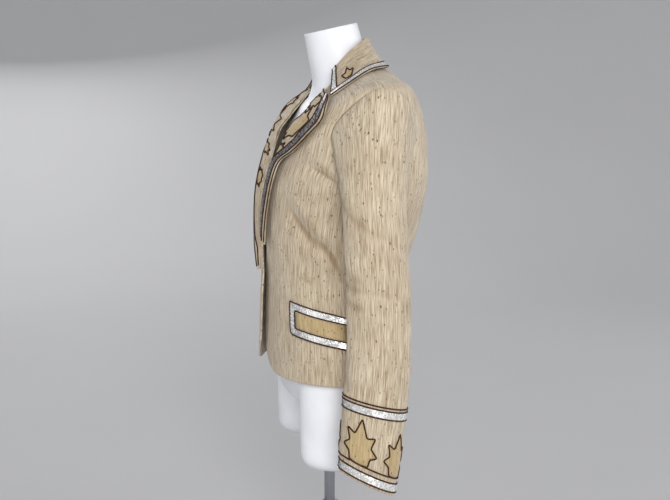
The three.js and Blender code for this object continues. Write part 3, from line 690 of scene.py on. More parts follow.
# Sequins in overlapping rows: small closed discs, each a little tilted
def sequin_mesh(places, radius, seed, tilt=0.2, sides=7):
    random = np.random.default_rng(seed)
    verts, faces, tones, at = [], [], [], 0
    turns = spread(0, 360, sides, endpoint=False)[:, None]
    for point, normal, along in places:
        side = unit(np.cross(normal, along))
        lean = normal * math.sin(tilt) + random.normal(0, 0.07, 3)
        ahead = unit(along * math.cos(tilt) + lean)
        up = unit(np.cross(ahead, side))
        up = up if (up * normal).sum() > 0 else -up
        size = radius * random.uniform(0.92, 1.06)
        rim = point + (ahead * cos(turns) + side * sin(turns)) * size
        top, low = point + up * 0.22, point - up * 0.12
        verts += [*rim, top, low]
        flip = (np.cross(rim[1] - rim[0], top - rim[0]) * up).sum() < 0
        for one, two in pairs(sides):
            one, two = (at + two, at + one) if flip else (at + one, at + two)
            faces += [(one, two, at + sides), (two, one, at + sides + 1)]
        tones += [random.uniform()] * (sides + 2)
        at += sides + 2
    return np.array(verts), faces, np.array(tones)


def lathe(name, profile, material, lines=72):
    verts, rows, faces = [], [], []
    for r, z in profile:
        turns = np.radians(spread(0, 360, lines if r else 1, endpoint=False))
        rows.append([len(verts) + k % len(turns) for k in range(lines)])
        verts += [(r * math.cos(t), r * math.sin(t), z) for t in turns]
    for low, high in zip(rows, rows[1:]):
        for k, n in pairs(lines):
            face = list(dict.fromkeys([low[k], low[n], high[n], high[k]]))
            if len(face) > 2:
                faces.append(face)
    return mesh(name, verts, faces, material)


# Finishes. A number of a shader, with the usual arithmetic.
class Number:
    def __init__(self, look, socket):
        self.look, self.socket = look, socket

    def maths(self, operation, *values):
        node = self.look.node("ShaderNodeMath", {"operation": operation}, dict(enumerate(values)))
        return Number(self.look, node.outputs[0])

    __add__ = __radd__ = lambda self, other: self.maths("ADD", self, other)
    __mul__ = __rmul__ = lambda self, other: self.maths("MULTIPLY", self, other)
    __sub__ = lambda self, other: self.maths("SUBTRACT", self, other)
    __rsub__ = lambda self, other: self.maths("SUBTRACT", other, self)

    def sine(self):
        return self.maths("SINE", self)

    # 0 below low, 1 above high, soft between
    def step(self, low, high):
        node = self.look.node("ShaderNodeMapRange", {"interpolation_type": "SMOOTHSTEP"},
                              {"Value": self, "From Min": low, "From Max": high})
        return Number(self.look, node.outputs["Result"])


class Look:
    def __init__(self, name, **constants):
        self.material = bpy.data.materials.new(name)
        self.material.use_nodes = True
        self.tree = self.material.node_tree
        self.tree.nodes.clear()
        self.shader = self.node("ShaderNodeBsdfPrincipled")
        self.node("ShaderNodeOutputMaterial", {}, {"Surface": self.shader.outputs[0]})
        self.paint(**constants)

    def node(self, kind, settings=None, sockets=None):
        node = self.tree.nodes.new(kind)
        for key, value in (settings or {}).items():
            setattr(node, key, value)
        for key, value in (sockets or {}).items():
            self.feed(node.inputs[key], value)
        return node

    def feed(self, socket, value):
        value = value.socket if isinstance(value, Number) else value
        if isinstance(value, bpy.types.NodeSocket):
            self.tree.links.new(value, socket)
        else:
            socket.default_value = value

    def paint(self, **values):
        for key, value in values.items():
            self.feed(self.shader.inputs[key.replace("_", " ").title().replace("Ior", "IOR")], value)
        return self.material

    def attribute(self, name, output):
        return self.node("ShaderNodeAttribute", {"attribute_name": name}).outputs[output]

    def place(self):
        return self.node("ShaderNodeNewGeometry").outputs["Position"]

    def split(self, vector):
        outputs = self.node("ShaderNodeSeparateXYZ", {}, {0: vector}).outputs
        return [Number(self, socket) for socket in outputs]

    def scaled(self, vector, x, y, z=0.0):
        node = self.node("ShaderNodeVectorMath", {"operation": "MULTIPLY"}, {0: vector, 1: (x, y, z)})
        return node.outputs[0]

    def noise(self, vector, scale=1.0, detail=2.0, roughness=0.5):
        sockets = {"Vector": vector, "Scale": scale, "Detail": detail, "Roughness": roughness}
        return Number(self, self.node("ShaderNodeTexNoise", {}, sockets).outputs["Fac"])

    def cells(self, vector):
        node = self.node("ShaderNodeTexVoronoi", {}, {"Vector": vector, "Scale": 1.0})
        chance = self.node("ShaderNodeSeparateColor", {}, {0: node.outputs["Color"]})
        return Number(self, node.outputs["Distance"]), Number(self, chance.outputs[0])

    # Between two colours, each a socket or red, green and blue up to 255
    def blend(self, factor, *pair):
        first, second = (colour(each) if isinstance(each, tuple) else each for each in pair)
        node = self.node("ShaderNodeMix", {"data_type": "RGBA"}, {"Factor": factor, 6: first, 7: second})
        return node.outputs[2]

    def bump(self, height, distance, strength):
        sockets = {"Height": height, "Distance": distance, "Strength": strength}
        return self.node("ShaderNodeBump", {}, sockets).outputs[0]


def colour(parts):
    parts = [v / 255 for v in parts]
    return (*(v / 12.92 if v <= 0.04045 else ((v + 0.055) / 1.055) ** 2.4 for v in parts), 1.0)


WAVE = 2 * math.pi


# Raw silk with long slubs up the cloth and small dark flecks, and painted brown shade in its creases
def silk_look(name, light, dark, fleck, across=1.0):
    look = Look(name, sheen_weight=0.25, sheen_roughness=0.45, specular_ior_level=0.3)
    grain = look.attribute("grain", "Vector")
    u, v, crease = look.split(grain)

    def streaks(wide, long, **how):
        return look.noise(look.scaled(grain, 1 / wide, 1 / long), **how)

    slub, wide, cloud = streaks(1.1, 34, roughness=0.6), streaks(3.2, 110), streaks(60, 75)
    thread = (u * (WAVE / 0.95)).sine() * (v * (WAVE / 0.8)).sine()
    shade = (slub - 0.5) * 2.3 * across + (wide - 0.5) * 0.8 * across + (cloud - 0.5) * 0.5 + 0.5
    base = look.blend((1 - shade).step(0.0, 1.0), light, dark)
    base = look.blend(streaks(0.9, 16).step(0.66, 0.8) * 0.3 * across, base, (226, 212, 186))
    near, chance = look.cells(look.scaled(grain, 1 / 6.0, 1 / 13))
    size = chance.step(0.35, 1.0) * 0.13 + 0.06
    wobble = (streaks(0.8, 2.0, detail=1.0) - 0.5) * 0.09
    spot = (size + wobble - near).step(-0.01, 0.04) * chance.step(0.28, 0.38)
    base = look.blend(spot * 0.85, base, fleck)
    fine, odds = look.cells(look.scaled(grain, 1 / 5.0, 1 / 10.5))
    dash = (0.2 - fine).step(-0.03, 0.05) * odds.step(0.38, 0.6)
    base = look.blend(dash * 0.55, base, fleck)
    # Painted shade: the grain's third part, the crease depth, darkens the silk to brown in the troughs
    base = look.blend((crease * -0.25).step(0.1, 1.0) * 0.6, base, (122, 92, 58))
    height = slub * 0.8 + thread * 0.16 + spot * 0.3 + wide * 0.4
    return look.paint(base_color=base, roughness=0.86 - slub * 0.14, normal=look.bump(height, 0.0006, 0.75))


def cord_look(name):
    look = Look(name, sheen_weight=0.05, specular_ior_level=0.25)
    grain = look.attribute("grain", "Vector")
    run, around, _ = look.split(grain)
    ply = (run * (WAVE / 2.2) + around * WAVE).sine()
    warm = (ply * 0.18 + look.noise(grain, scale=0.09, detail=3.0)).step(0.5, 0.78)
    base = look.blend(warm * 0.5, (36, 19, 10), (150, 84, 36))
    return look.paint(base_color=base, roughness=0.82 - ply * 0.08, normal=look.bump(ply, 0.0005, 0.8))


def sequin_look(name, low, high, rainbow):
    look = Look(name, metallic=0.6, coat_roughness=0.1)
    tone = Number(look, look.attribute("tone", "Fac"))
    tint = look.noise(look.place(), scale=160.0, detail=1.0).step(0.5, 0.7) * 0.3
    base = look.blend(tint, look.blend(tone, low, high), rainbow)
    return look.paint(base_color=base, roughness=tone * 0.16 + 0.16, coat_weight=tone * 0.5)


def tape_look(name, base, thread):
    look = Look(name, roughness=0.85, sheen_weight=0.2)
    grain = look.attribute("grain", "Vector")
    u, v, _ = look.split(grain)
    weave = (u * (WAVE / 0.7)).sine() * (v * (WAVE / 0.7)).sine()
    patch = look.noise(grain, scale=0.25, detail=3.0)
    return look.paint(base_color=look.blend(patch, base, thread), normal=look.bump(weave, 0.0003, 0.7))


def form_look(name):
    look = Look(name, coat_roughness=0.25, specular_ior_level=0.45)
    patch = look.noise(look.place(), scale=14.0, detail=4.0)
    scuff = look.noise(look.scaled(look.place(), 1.0, 1.0, 0.25), scale=220.0, detail=3.0)
    base = look.blend(patch.step(0.35, 0.75), (236, 237, 241), (226, 228, 233))
    base = look.blend(scuff.step(0.68, 0.78) * 0.25, base, (196, 197, 201))
    return look.paint(base_color=base, roughness=0.34 + patch * 0.16, coat_weight=patch * 0.2,
                      normal=look.bump(patch + scuff * 0.12, 0.0012, 0.35))


def steel_look(name, stretch):
    look = Look(name, metallic=1.0)
    lines = look.noise(look.scaled(look.place(), *stretch), scale=260.0, detail=4.0)
    patch = look.noise(look.place(), scale=30.0, detail=3.0)
    return look.paint(base_color=look.blend(patch, (176, 178, 184), (150, 152, 158)),
                      roughness=0.2 + lines * 0.16 + patch * 0.08, normal=look.bump(lines, 0.0002, 0.4))


SILK = silk_look("raw silk", (217, 203, 179), (154, 134, 107), (78, 50, 28))
SILK_COLLAR = silk_look("raw silk across", (208, 193, 168), (150, 132, 106), (84, 56, 33))
SILK_TAN = silk_look("tan leaf silk", (204, 182, 140), (162, 138, 98), (88, 58, 32), 0.8)
CORD = cord_look("twisted brown cord")
SILVER = sequin_look("silver sequins", (205, 205, 204), (250, 250, 248), (216, 206, 184))
SMOKE = sequin_look("smoke sequins", (96, 96, 100), (190, 190, 192), (150, 143, 126))
TAPE = tape_look("trim tape", (96, 84, 70), (140, 126, 106))
FORM = form_look("satin white shell")
STEEL = steel_look("brushed pole steel", (1.0, 1.0, 0.02))
BASE_STEEL = steel_look("brushed base steel", (0.08, 1.0, 1.0))


# The cloth pieces
HANDS = {"left": 1, "right": -1}
RINGS = panel_rings(100, 46, 30)
sheets = {}


def worn(piece, slot, *nodes):
    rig.ride(piece, "root")
    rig.slot(piece, slot)
    if nodes:
        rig.replaces(piece, *nodes)
    return piece


def cut(key, name, grid, material=SILK, **how):
    sheets[key] = worn(shell(name, *grid, material, **how), "tweed", key)


def make_sleeve(hand, side):
    at = np.concatenate([spread(-1, 0, 44)[:-1], spread(0, CUFF, 124)])[:, None]
    turn = spread(0, 360, 85)[None, :-1]
    points, normals = sleeve_cloth(side, turn, at)
    run = run_along(sleeve_base(90, at[:, 0]))
    # The grain's third part is the crease depth, which the silk paints as shade
    grain = stack(turn * SLEEVE_ACROSS * side, -run[:, None], sleeve_creases(side, turn, points[..., 2]))
    cut(f"sleeve_{hand}", f"sleeve_cloth_{hand}", (points, normals, grain), girth=SLEEVE_GIRTH, turn=side > 0)


def make_lapel(hand, side):
    u, v = spread(LAPEL_FOOT[side], LAPEL_TOP, 128)[:, None], spread(0, 1, 30)[None, :]
    grid = *lapel_point(side, u, v), stack(v * 62 * side, u * 52, 0.0)
    cut(f"lapel_{hand}", f"lapel_cloth_{hand}", grid, turn=side < 0)


def make_collar():
    t, c = spread(0, COLLAR_END, 132)[:, None], spread(0, 1, 44)[None, :]
    cut("collar", "collar_cloth", (*collar_point(t, c), stack(c * 95, t * 56, 0.0)), SILK_COLLAR)


# A flap's lower corners are cut round
def make_flap(hand, side):
    b = spread(1, 0, 26)[:, None]
    down = np.clip(1 - (1 - b) / 0.2, 0, 1)
    inset = 0.07 * (1 - np.sqrt(1 - down ** 2))
    a = inset + (1 - 2 * inset) * spread(0, 1, 56)[None, :]
    grid = *flap_point(side, a, b), stack(a * 142 * side, (1 - b) * 46, 0.0)
    cut(f"flap_{hand}", f"flap_cloth_{hand}", grid, turn=side < 0)


make_collar()
for hand, side in HANDS.items():
    cut(f"front_{hand}", f"front_panel_{hand}", front_grid(side, RINGS, 70), turn=side < 0)
    cut(f"back_{hand}", f"back_panel_{hand}", back_grid(side, RINGS, 60), turn=side < 0)
    make_sleeve(hand, side)
    make_lapel(hand, side)
    make_flap(hand, side)

# The dress form and its stand. ring, ease under the cloth; then rings with the columns of BODY
EASE = table("""
0 12; 1 9; 2 9; 5 9; 6.5 8; 7.4 5.4; 8 1.2; 8.2 2.2
""")
SEAT = table("""
120 12 330 -55 330 78 330 0.05
146 12 348 -80 348 104 348 0.05
""")
NECK = table("""
56 28 891 -37 851 70 895 0
48 20 914 -29 882 63 922 0
47 8 946 -36 925 56 954 0
47 -1 995 -49 995 42 1000 0
""")
NECK_CUT = Sizes(y=0.5, z=971.5, slope=0.23, rim=1.2, dip=0.35)
THIGH = Sizes(x=106, y=8, half_width=54, half_depth=81, top=420, bottom=237, roundness=26, flare=4)
EVEN = Sizes(voxel=4.2, softening=0.5, times=8)
POLE = Sizes(radius=9.5, top=392, clearance=0.3)
BASE = Sizes(radius=145, edge=5, bevel=4, height=9, hub=20, fillet=3, hub_height=24, floor=4)
CLAMP = Sizes(z=128, radius=15, height=16, knob=8, knob_length=16, bury=2)
KNOB = Sizes(lines=40, notches=10, depth=0.045, start=7.5)


def capped_rows(rows):
    index = np.arange(len(rows) * len(rows[0])).reshape(len(rows), -1)
    faces = fields(closed_round(index)).reshape(-1, 4).tolist() + [index[0, ::-1].tolist(), index[-1].tolist()]
    return list(np.concatenate(rows)), faces


def thigh_rows(side):
    t = THIGH
    low = t.bottom + t.roundness
    levels = [(low - t.roundness * math.sin(a), t.roundness * (1 - math.cos(a)))
              for a in spread(1.45, 0, 9)]
    levels += [(mix(low, t.top, f), -t.flare * f) for f in spread(0.1, 1, 10)]
    turns = spread(0, 360, 73)[:-1]
    return [stack(side * t.x + (t.half_width - inset) * sin(turns),
                  t.y - (t.half_depth - inset) * cos(turns), z) for z, inset in levels]


def make_form():
    angle = spread(0, 360, 97)[:-1]
    rows = [ring_point(SEAT, angle, at) for at in spread(0, 1, 4)]
    for ring in spread(0, EASE[-1, 0], 60):
        under = CLOTH + lookup(EASE, np.full(1, ring))[0]
        rows.append(body_point(angle, ring) - body_normal(angle, ring) * under)
    rows += [ring_point(NECK, angle, at) for at in spread(0, 3, 24)]
    verts, faces = capped_rows(rows)
    for side in (1, -1):
        more, their_faces = capped_rows(thigh_rows(side))
        faces += [tuple(k + len(verts) for k in face) for face in their_faces]
        verts += more
    rough = mesh("form_rough", verts, faces, FORM)
    remesh = rough.modifiers.new("even", "REMESH")
    remesh.mode, remesh.voxel_size = "VOXEL", EVEN.voxel * MM
    soften = rough.modifiers.new("soften", "SMOOTH")
    soften.factor, soften.iterations = EVEN.softening, EVEN.times
    data = bpy.data.meshes.new_from_object(rough.evaluated_get(bpy.context.evaluated_depsgraph_get()))
    bpy.data.objects.remove(rough)
    body = bmesh.new()
    body.from_mesh(data)
    slope = math.atan(NECK_CUT.slope)
    halves = bmesh.ops.bisect_plane(
        body, geom=body.verts[:] + body.edges[:] + body.faces[:], clear_outer=True,
        plane_co=Vector((0, NECK_CUT.y, NECK_CUT.z)) * MM,
        plane_no=(0, -math.sin(slope), math.cos(slope)))
    rim = [e for e in halves["geom_cut"] if isinstance(e, bmesh.types.BMEdge)]
    lid = bmesh.ops.contextual_create(body, geom=rim)["faces"]
    bmesh.ops.inset_individual(body, faces=lid, thickness=NECK_CUT.rim * MM, depth=NECK_CUT.dip * MM)
    bmesh.ops.recalc_face_normals(body, faces=body.faces[:])
    body.to_mesh(data)
    body.free()
    data.name = "form_shell"
    data.materials.clear()
    data.materials.append(FORM)
    data.polygons.foreach_set("use_smooth", [len(p.vertices) < 9 for p in data.polygons])
    worn(placed("form_shell", data), "form_shell", "dress_form")


def make_stand():
    p, b, c = POLE, BASE, CLAMP
    r, bore, foot, top = p.radius, p.radius + p.clearance, b.floor + SEAM, p.top
    worn(lathe("steel_pole", [
        (0, foot), (r - 0.5, foot), (r, foot + 0.5), (r, top - 2), (r - 0.6, top - 0.6), (r - 2, top),
        (0, top)], STEEL, 48), "steel", "pole")
    r, inner, edge, hub, high = b.radius, b.radius - b.bevel, b.edge, b.hub, b.height
    worn(lathe("steel_base", [
        (0, 0), (r - 1, 0), (r, 1), (r, edge), (r - 1.2, edge + 2.4), (inner, high), (inner - 1.5, high),
        (hub + b.fillet, high), (hub + 0.9, high + 0.9), (hub, high + b.fillet),
        (hub, b.hub_height - 1), (hub - 1, b.hub_height), (bore, b.hub_height),
        (bore, b.floor), (0, b.floor)], BASE_STEEL, 128), "steel", "base")
    r, low, high = c.radius, c.z - c.height / 2, c.z + c.height / 2
    worn(lathe("pole_collar", [
        (bore, low), (r - 1, low), (r, low + 1), (r, high - 1), (r - 1, high), (bore, high), (bore, low)],
        STEEL, 64), "steel", "pole_clamp")
    near = r - c.bury
    r, far = c.knob, near + c.knob_length
    knob = lathe("thumb_screw", [
        (0, near), (3, near), (3, near + 5), (r - 1, near + 5.5), (r, near + 6.5), (r, far - 1),
        (r - 1, far), (0, far)], STEEL, KNOB.lines)
    for vertex in knob.data.vertices:
        x, y, z = vertex.co
        if math.hypot(x, y) > KNOB.start * MM:
            notch = 1 - KNOB.depth * (0.5 + 0.5 * math.cos(KNOB.notches * math.atan2(y, x)))
            x, y = x * notch, y * notch
        vertex.co = (x, -z, y + c.z * MM)
    knob.data.update()
    worn(knob, "steel")


make_form()
make_stand()


# Trim. Cloth is measured along its edge and in from it, round and round where it is closed.
class Edge:
    def __init__(self, place, along, inward, closed=False):
        self.place, self.along, self.inward, self.closed = place, along, inward, closed
        grid, _ = place(along[:, None], inward[None, :])
        self.run = run_along(grid[:, 0])
        self.depth = np.array([run_along(row) for row in grid])
        self.length = self.run[-1]

    def width(self, s):
        return np.interp(s, self.run, self.depth[:, -1])

    def at(self, s, w, lift=0.0):
        s, w = matched(s % self.length if self.closed else s, w)
        shape, s, w = s.shape, s.ravel(), w.ravel()
        row = np.interp(s, self.run, np.arange(len(self.along)))
        low = np.minimum(row.astype(int), len(self.along) - 2)
        inward = np.array([
            mix(*(np.interp(deep, self.depth[k + one], self.inward) for one in (0, 1)), f)
            for deep, k, f in zip(w, low, row - low)])
        points, normals = self.place(np.interp(s, self.run, self.along), inward, lift)
        return points.reshape(*shape, 3), normals.reshape(*shape, 3)


CORNER_CUT, CUT_SHARE = 1.6, 0.25  # how far a corner is cut back, and the most of a side


def softened(path, closed, passes=2, step=1.6):
    path = np.asarray(path, float)
    for _ in range(passes):
        after = np.roll(path, -1, 0) if closed else path[1:]
        before = path if closed else path[:-1]
        near = np.minimum(CUT_SHARE, CORNER_CUT / np.maximum(size_of(after - before), 1e-6))
        short = np.stack([mix(before, after, near), mix(after, before, near)], 1).reshape(-1, 2)
        path = short if closed else np.vstack([path[:1], short[1:-1], path[-1:]])
    ring = np.vstack([path, path[:1]]) if closed else path
    run = run_along(ring)
    at = spread(0, run[-1], max(int(run[-1] / step), 3) + 1)
    at = at[:-1] if closed else at
    return np.stack([np.interp(at, run, ring[:, k]) for k in (0, 1)], 1)


# How far the trim's layers lie off the cloth
TAPE_LIFT, SEQUIN_LIFT, CORD_LIFT, LEAF_LIFT, LEAF_BACK = 0.55, 0.95, 0.8, 0.42, 0.05
CORD_RADIUS, TAPE_THICKNESS, TAPE_ROUND = 1.3, 0.45, 0.3


# Cords sewn on a piece, each a run of places (along, inward), closed or not
def sew_cords(name, edge, runs, *nodes):
    made = [(*edge.at(*softened(path, closed).T, CORD_LIFT), closed) for path, closed in runs]
    verts, faces, grain = cord_mesh(made, CORD_RADIUS)
    return worn(mesh(name, verts, faces, CORD, grain), "cord", *nodes)


# Strips of tape under the sequins: (along from, along to, inward from, inward to)
def sew_tape(name, edge, strips, node, girth=0.0):
    pieces = []
    for number, (s0, s1, w0, w1) in enumerate(strips):
        s, w = spread(s0, s1, max(int(abs(s1 - s0) / 3), 2) + 1), spread(w0, w1, 4)
        s, w = np.meshgrid(s[:-1], w) if girth else np.meshgrid(s, w, indexing="ij")
        points, normals = edge.at(s, w, TAPE_LIFT)
        across = np.cross(points[1, 0] - points[0, 0], points[0, 1] - points[0, 0])
        pieces.append(shell(f"{name}_{number}", points, normals, stack(s, w, 0.0), TAPE, girth,
                            (across * normals[0, 0]).sum() > 0, TAPE_THICKNESS, TAPE_ROUND))
    first = pieces[0]
    if len(pieces) > 1:
        with bpy.context.temp_override(active_object=first, selected_editable_objects=pieces):
            bpy.ops.object.join()
    first.name = first.data.name = name
    return worn(first, "sequin_band", node)


# Sequins over strips, in rows along each strip, every other row set on by less than half a step
def sew_sequins(name, edge, strips, look, seed, radius=1.85, step=2.35, row=2.2):
    spots = []
    for s0, s1, w0, w1 in strips:
        along_s = abs(s1 - s0) >= abs(w1 - w0)
        long0, long1, wide0, wide1 = (s0, s1, w0, w1) if along_s else (w0, w1, s0, s1)
        rows = max(int(round(abs(wide1 - wide0) / row)), 1)
        count = max(int(abs(long1 - long0) / step), 1)
        for k in range(rows):
            run = mix(long0, long1, (np.arange(count) + 0.3 + 0.4 * (k % 2)) / count)
            ahead = run + math.copysign(0.8, long1 - long0)
            flat = np.full(count, mix(wide0, wide1, (k + 0.5) / rows))
            spots.append((run, flat, ahead, flat) if along_s else (flat, run, flat, ahead))
    s, w, s2, w2 = np.concatenate(spots, axis=1)
    points, normals = edge.at(s, w, SEQUIN_LIFT)
    along = unit(edge.at(s2, w2, SEQUIN_LIFT)[0] - points + 1e-6)
    verts, faces, tones = sequin_mesh(zip(points, normals, along), radius, seed)
    return worn(mesh(name, verts, faces, look, tone=tones, smooth_faces=False), "sequin_band")


# Patches of tan silk, laid flat on the piece: each an outline and a middle
def sew_leaf_fill(name, edge, outlines, lift=LEAF_LIFT):
    verts, faces, grain, at = [], [], [], 0
    for outline, middle in outlines:
        rim, middle = softened(outline, True, passes=1, step=2.2), np.asarray(middle, float)
        flat = np.vstack([middle[None]] + [mix(middle, rim, f) for f in spread(0, 1, 7)[1:]])
        layer = len(flat)
        verts += [edge.at(*flat.T, height)[0] for height in (lift, LEAF_BACK)]
        grain += [np.column_stack([flat, np.zeros(layer)])] * 2
        here = at + 1 + np.arange(layer - 1).reshape(-1, len(rim))
        after = np.roll(here, -1, 1)
        first, second = here[:, :2].ravel()[:2] - at
        one, two = verts[-2][first] - verts[-2][0], verts[-2][second] - verts[-2][0]
        turn = -1 if (np.cross(one, two) * edge.at(*flat[:1].T, lift)[1][0]).sum() < 0 else 1
        faces += [face[::turn] for a, b in zip(here[0], after[0])
                  for face in ((at, a, b), (b + layer, a + layer, at + layer))]
        quads = zip(*(part.ravel() for part in (here[:-1], here[1:], after[1:], after[:-1])))
        faces += [face[::turn] for quad in quads for face in (quad, tuple(k + layer for k in quad[::-1]))]
        faces += [(a, a + layer, b + layer, b)[::turn] for a, b in zip(here[-1], after[-1])]
        at += 2 * layer
    corners = np.concatenate(grain)[[k for face in faces for k in face]]
    return worn(mesh(name, np.concatenate(verts), faces, SILK_TAN, corners), "tweed")


# Leaves of several lobes, in a box one wide and one high, from the stalk round to the tip
FIVE_LOBES = table("0.05 0; 0.26 0.02; 0.3 0.2; 0.5 0.3; 0.3 0.44; 0.4 0.7; 0.17 0.62; 0 1")
THREE_LOBES = table("0.2 0; 0.5 0.62; 0.22 0.56; 0 1")
LONG_LOBES = table("0.05 0; 0.36 0.16; 0.26 0.3; 0.5 0.44; 0.24 0.58; 0.34 0.78; 0.12 0.76; 0 1")


# A leaf's outline with its stalk at a place and its tip towards a direction, 90 straight in
def leaf(shape, place, width, height, direction=90.0):
    whole = np.vstack([shape, shape[-2::-1] * (-1, 1)]) * (width, height)
    c, d = cos(direction - 90), sin(direction - 90)
    return whole @ np.array([[c, d], [-d, c]]) + np.array(place)


def with_middles(outlines):
    return [(outline, outline.mean(axis=0)) for outline in outlines]


def closed_runs(outlines):
    return [(outline, True) for outline in outlines]


# A box as far in from a flap's edges, with round corners below and above
def rounded_box(long, high, inset, in_w, low, top):
    path = []
    for number, r in enumerate((low, low, top, top)):
        turn = spread(180, 270, 7) + 90 * number
        s, w = (long - inset - r, inset + r)[number in (0, 3)], (high - in_w - r, in_w + r)[number < 2]
        path.append(np.stack([s + r * cos(turn), w + r * sin(turn)], 1))
    return np.concatenate(path)


def line(s0, w0, s1, w1, count=2):
    return np.stack([spread(s0, s1, count), spread(w0, w1, count)], 1)


trims = {}


def trim_flap(hand, side):
    edge = Edge(partial(flap_point, side), spread(0, 1, 80), spread(1, 0, 40))
    long, high = edge.length, edge.width(edge.length / 2)

    def frame_of(in_s, in_w, deep, end, wide):
        return [(in_s, long - in_s, in_w, deep), (in_s, long - in_s, high - deep, high - 2.6),
                (end, wide, deep, high - deep), (long - wide, long - end, deep, high - deep)]

    outer, inner, patch = (rounded_box(long, high, *sizes) for sizes in (
        (1.4, 1.4, 8.0, 1.6), (13.2, 13.4, 4.0, 4.0), (15.6, 15.6, 3.0, 3.0)))
    trims[f"flap_{hand}"] = [
        sew_tape(f"flap_tape_{hand}", edge, frame_of(3.0, 3.0, 12.6, 2.6, 12.6), f"flap_band_{hand}"),
        sew_sequins(f"flap_sequins_{hand}", edge, frame_of(2.4, 2.6, 12.2, 2.4, 12.0), SILVER,
                    11 + side, 1.9),
        sew_cords(f"flap_cord_{hand}", edge, closed_runs([outer, inner])),
        sew_leaf_fill(f"flap_middle_{hand}", edge, [(patch, (long / 2, high / 2))], 0.35),
    ]


# A cuff's leaves: stalk, width, height, the first one's turn, and the height of its middle
CUFF_LEAF = Sizes(stalk=28.0, width=58.0, height=72.0, turn=54, middle=0.42, link=3)


def trim_cuff(hand, side):
    def around(to, count):
        return Edge(partial(sleeve_cloth, side), spread(0, 360, 145), spread(to, 3.75, count), closed=True)

    def rings(length, *widths):
        return closed_runs([line(0, w, length * (1 - 1 / 150), w, 150) for w in widths])

    lower, upper, c = around(CUFF, 60), around(4.12, 30), CUFF_LEAF
    girth, wider = lower.length, upper.length
    path, fills = [], []
    for i in range(4):
        at, stalk = girth * (c.turn + 90 * i) / 360, c.stalk
        shape = leaf(FIVE_LOBES, (at, stalk), c.width, c.height)[::-1]
        path += [shape, line(at + c.link, stalk, at + girth / 4 - c.link, stalk, 8)[1:-1]]
        fills.append((shape, (at, stalk + c.height * c.middle)))
    trims[f"sleeve_{hand}"] = [
        sew_tape(f"cuff_tape_lower_{hand}", lower, [(0, girth, 5.6, 18.2)], f"cuff_band_lower_{hand}", girth),
        sew_tape(f"cuff_tape_upper_{hand}", upper, [(0, wider, 5.2, 16.8)], f"cuff_band_upper_{hand}", wider),
        sew_sequins(f"cuff_sequins_lower_{hand}", lower, [(0, girth, 6.4, 17.4)], SILVER, 31 + side),
        sew_sequins(f"cuff_sequins_upper_{hand}", upper, [(0, wider, 6.0, 16.0)], SILVER, 36 + side),
        sew_cords(f"cuff_cord_{hand}", lower, rings(girth, 5.0, 18.8) + closed_runs([np.concatenate(path)]),
                  *(f"cuff_leaf_{i}_{hand}" for i in range(1, 5))),
        sew_cords(f"cuff_cord_upper_{hand}", upper, rings(wider, 4.6, 17.4, 22.6)),
        sew_leaf_fill(f"cuff_leaves_{hand}", lower, fills),
    ]


# The band's start from the lapel's foot, then its leaves: shape, stalk place, width, height, direction
LAPEL_TRIM = {
    1: (26.0, [(LONG_LOBES, (104, 22), 40, 18, 80), (LONG_LOBES, (170, 22), 54, 32, 76),
               (FIVE_LOBES, (240, 23), 86, 66, 84), (LONG_LOBES, (302, 23), 46, 58, 96)]),
    -1: (50.0, [(LONG_LOBES, (160, 22), 40, 18, 80), (LONG_LOBES, (226, 22), 54, 32, 76),
                (FIVE_LOBES, (296, 23), 86, 66, 84), (LONG_LOBES, (354, 23), 44, 54, 96)]),
}


def trim_lapel(hand, side):
    edge = Edge(partial(lapel_point, side), spread(LAPEL_FOOT[side], LAPEL_TOP, 160), spread(1, 0.02, 60))
    top, (start, leaves) = edge.length - 2.0, LAPEL_TRIM[side]
    s = spread(6.0, top, 120)
    bars = [(np.stack([s, np.minimum(w, edge.width(s) * w / 26)], 1), False) for w in (1.4, 7.6, 19.8)]
    outlines = [leaf(*each) for each in leaves]
    across_top = line(top - 2, 20, top - 2, edge.width(top - 2) - 3, 12)
    trims[f"lapel_{hand}"] = [
        sew_tape(f"lapel_tape_{hand}", edge, [(start, top, 8.4, 19.0)], f"lapel_band_{hand}"),
        sew_sequins(f"lapel_sequins_{hand}", edge, [(start + 2, top - 1, 9.2, 18.2)],
                    SMOKE, 51 + side, radius=1.7, step=2.1, row=2.1),
        sew_cords(f"lapel_cord_{hand}", edge, bars + closed_runs(outlines) + [(across_top, False)]),
        sew_leaf_fill(f"lapel_leaves_{hand}", edge, with_middles(outlines)),
    ]


def trim_collar():
    edge = Edge(collar_point, spread(0, COLLAR_END, 160), spread(1, 0.36, 60))
    long = edge.length
    cords = [(line(1.2, w, long - 1.2, w, 200), False) for w in (1.4, 12.4)]
    strips, outlines = [(2.8, long - 2.8, 2.6, 11.2)], []
    for end, way in ((0.0, 1), (long, -1)):
        reach = float(edge.width(end + 6.0 * way)) - 1.0
        for x in (1.4, 14.4):
            cords.append((line(end + x * way, 12.4, end + x * way, reach, 30), False))
        strips.append((end + 2.8 * way, end + 13.2 * way, 13.6, reach))
        outlines.append(leaf(THREE_LOBES, (end + 42.0 * way, 18.0), 32, 26, 90 - 8 * way))
    trims["collar"] = [
        sew_tape("collar_tape", edge, strips, "collar_band"),
        sew_sequins("collar_sequins", edge, strips, SILVER, 71, radius=1.75),
        sew_cords("collar_cord", edge, cords + closed_runs(outlines)),
        sew_leaf_fill("collar_leaves", edge, with_middles(outlines)),
    ]


trim_collar()
for hand, side in HANDS.items():
    trim_flap(hand, side)
    trim_cuff(hand, side)
    trim_lapel(hand, side)

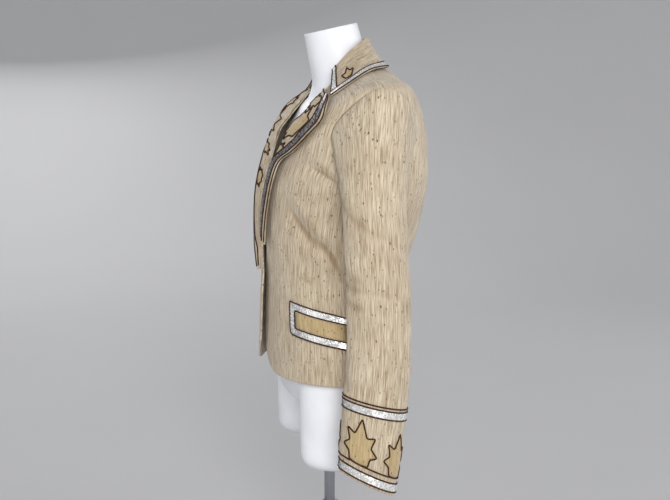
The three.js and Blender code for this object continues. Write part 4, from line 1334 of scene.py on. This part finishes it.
# Each piece's cut, laid flat: width, length and area in metres, how it is held, and what holds it
CUTS = {
    "front": (0.31, 0.70, 0.108, "draped", ["form_shell"]),
    "back": (0.25, 0.72, 0.118, "draped", ["form_shell"]),
    "sleeve": (0.435, 0.645, 0.169, "hung", ["front_panel_{}", "back_panel_{}"]),
    "lapel": (0.107, 0.39, 0.019, "folded", ["front_panel_{}"]),
    "flap": (0.126, 0.059, 0.0066, "hung", ["front_panel_{}"]),
    "collar": (0.43, 0.115, 0.0315, "folded", ["front_panel_left", "front_panel_right"]),
}
for key, piece in sheets.items():
    part, _, hand = key.partition("_")
    width, length, area, held, holders = CUTS[part]
    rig.sheet(piece, flat=(width, length), held=held, area=area, with_pieces=trims.get(key, []),
             rests_on=[holder.format(hand) for holder in holders])

# Floor, light and air. The floor bends up into a round wall.
FLOOR = Sizes(top=-1.5, reach=2800, bend=3000, wall=3300)
# azimuth, elevation, distance and size in metres, watts
LAMPS = {"key": (84, 17, 4.6, 2.2, 138), "fill": (20, 20, 4.3, 3.0, 29),
         "behind": (165, 20, 4.3, 2.8, 55), "far side": (-80, 25, 4.8, 3.0, 62)}
LAMP_AIM = Vector((0, 0.01, 0.62))
AIR_COLOUR, AIR_STRENGTH = (0.93, 0.94, 0.96, 1), 0.42


def make_room():
    floor = Look("pale floor", roughness=0.85)
    patch = floor.noise(floor.place(), scale=0.9, detail=3.0)
    grit = floor.noise(floor.place(), scale=60.0, detail=3.0)
    floor.paint(base_color=floor.blend(patch, (196, 196, 197), (188, 188, 190)),
                normal=floor.bump(grit, 0.0006, 0.25))
    top, reach, bend = FLOOR.top, FLOOR.reach, FLOOR.bend
    rise = [(reach + bend * sin(a), top + bend * (1 - cos(a))) for a in spread(0, 90, 16)]
    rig.stage(lathe("floor", [(0, top), *rise, (reach + bend, FLOOR.wall)], floor.material, 96))
    for name, (azimuth, elevation, distance, size, watts) in LAMPS.items():
        data = bpy.data.lights.new(name, "AREA")
        data.shape, data.size, data.energy = "DISK", size, watts
        lamp, back = bpy.data.objects.new(name, data), toward(azimuth, elevation)
        lamp.location = LAMP_AIM + back * distance
        lamp.rotation_mode = "QUATERNION"
        lamp.rotation_quaternion = back.to_track_quat("Z", "Y")
        scene.collection.objects.link(lamp)
    scene.world = bpy.data.worlds.new("studio air")
    scene.world.use_nodes = True
    air = scene.world.node_tree.nodes["Background"]
    air.inputs["Color"].default_value, air.inputs["Strength"].default_value = AIR_COLOUR, AIR_STRENGTH
    scene.view_settings.view_transform = "Standard"


make_room()

with open("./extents.json", "w") as sizes:
    json.dump({"cad": [list(corner) for corner in cad_box],
               "scene": [list(corner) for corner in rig.bounds()]}, sizes, indent=1)
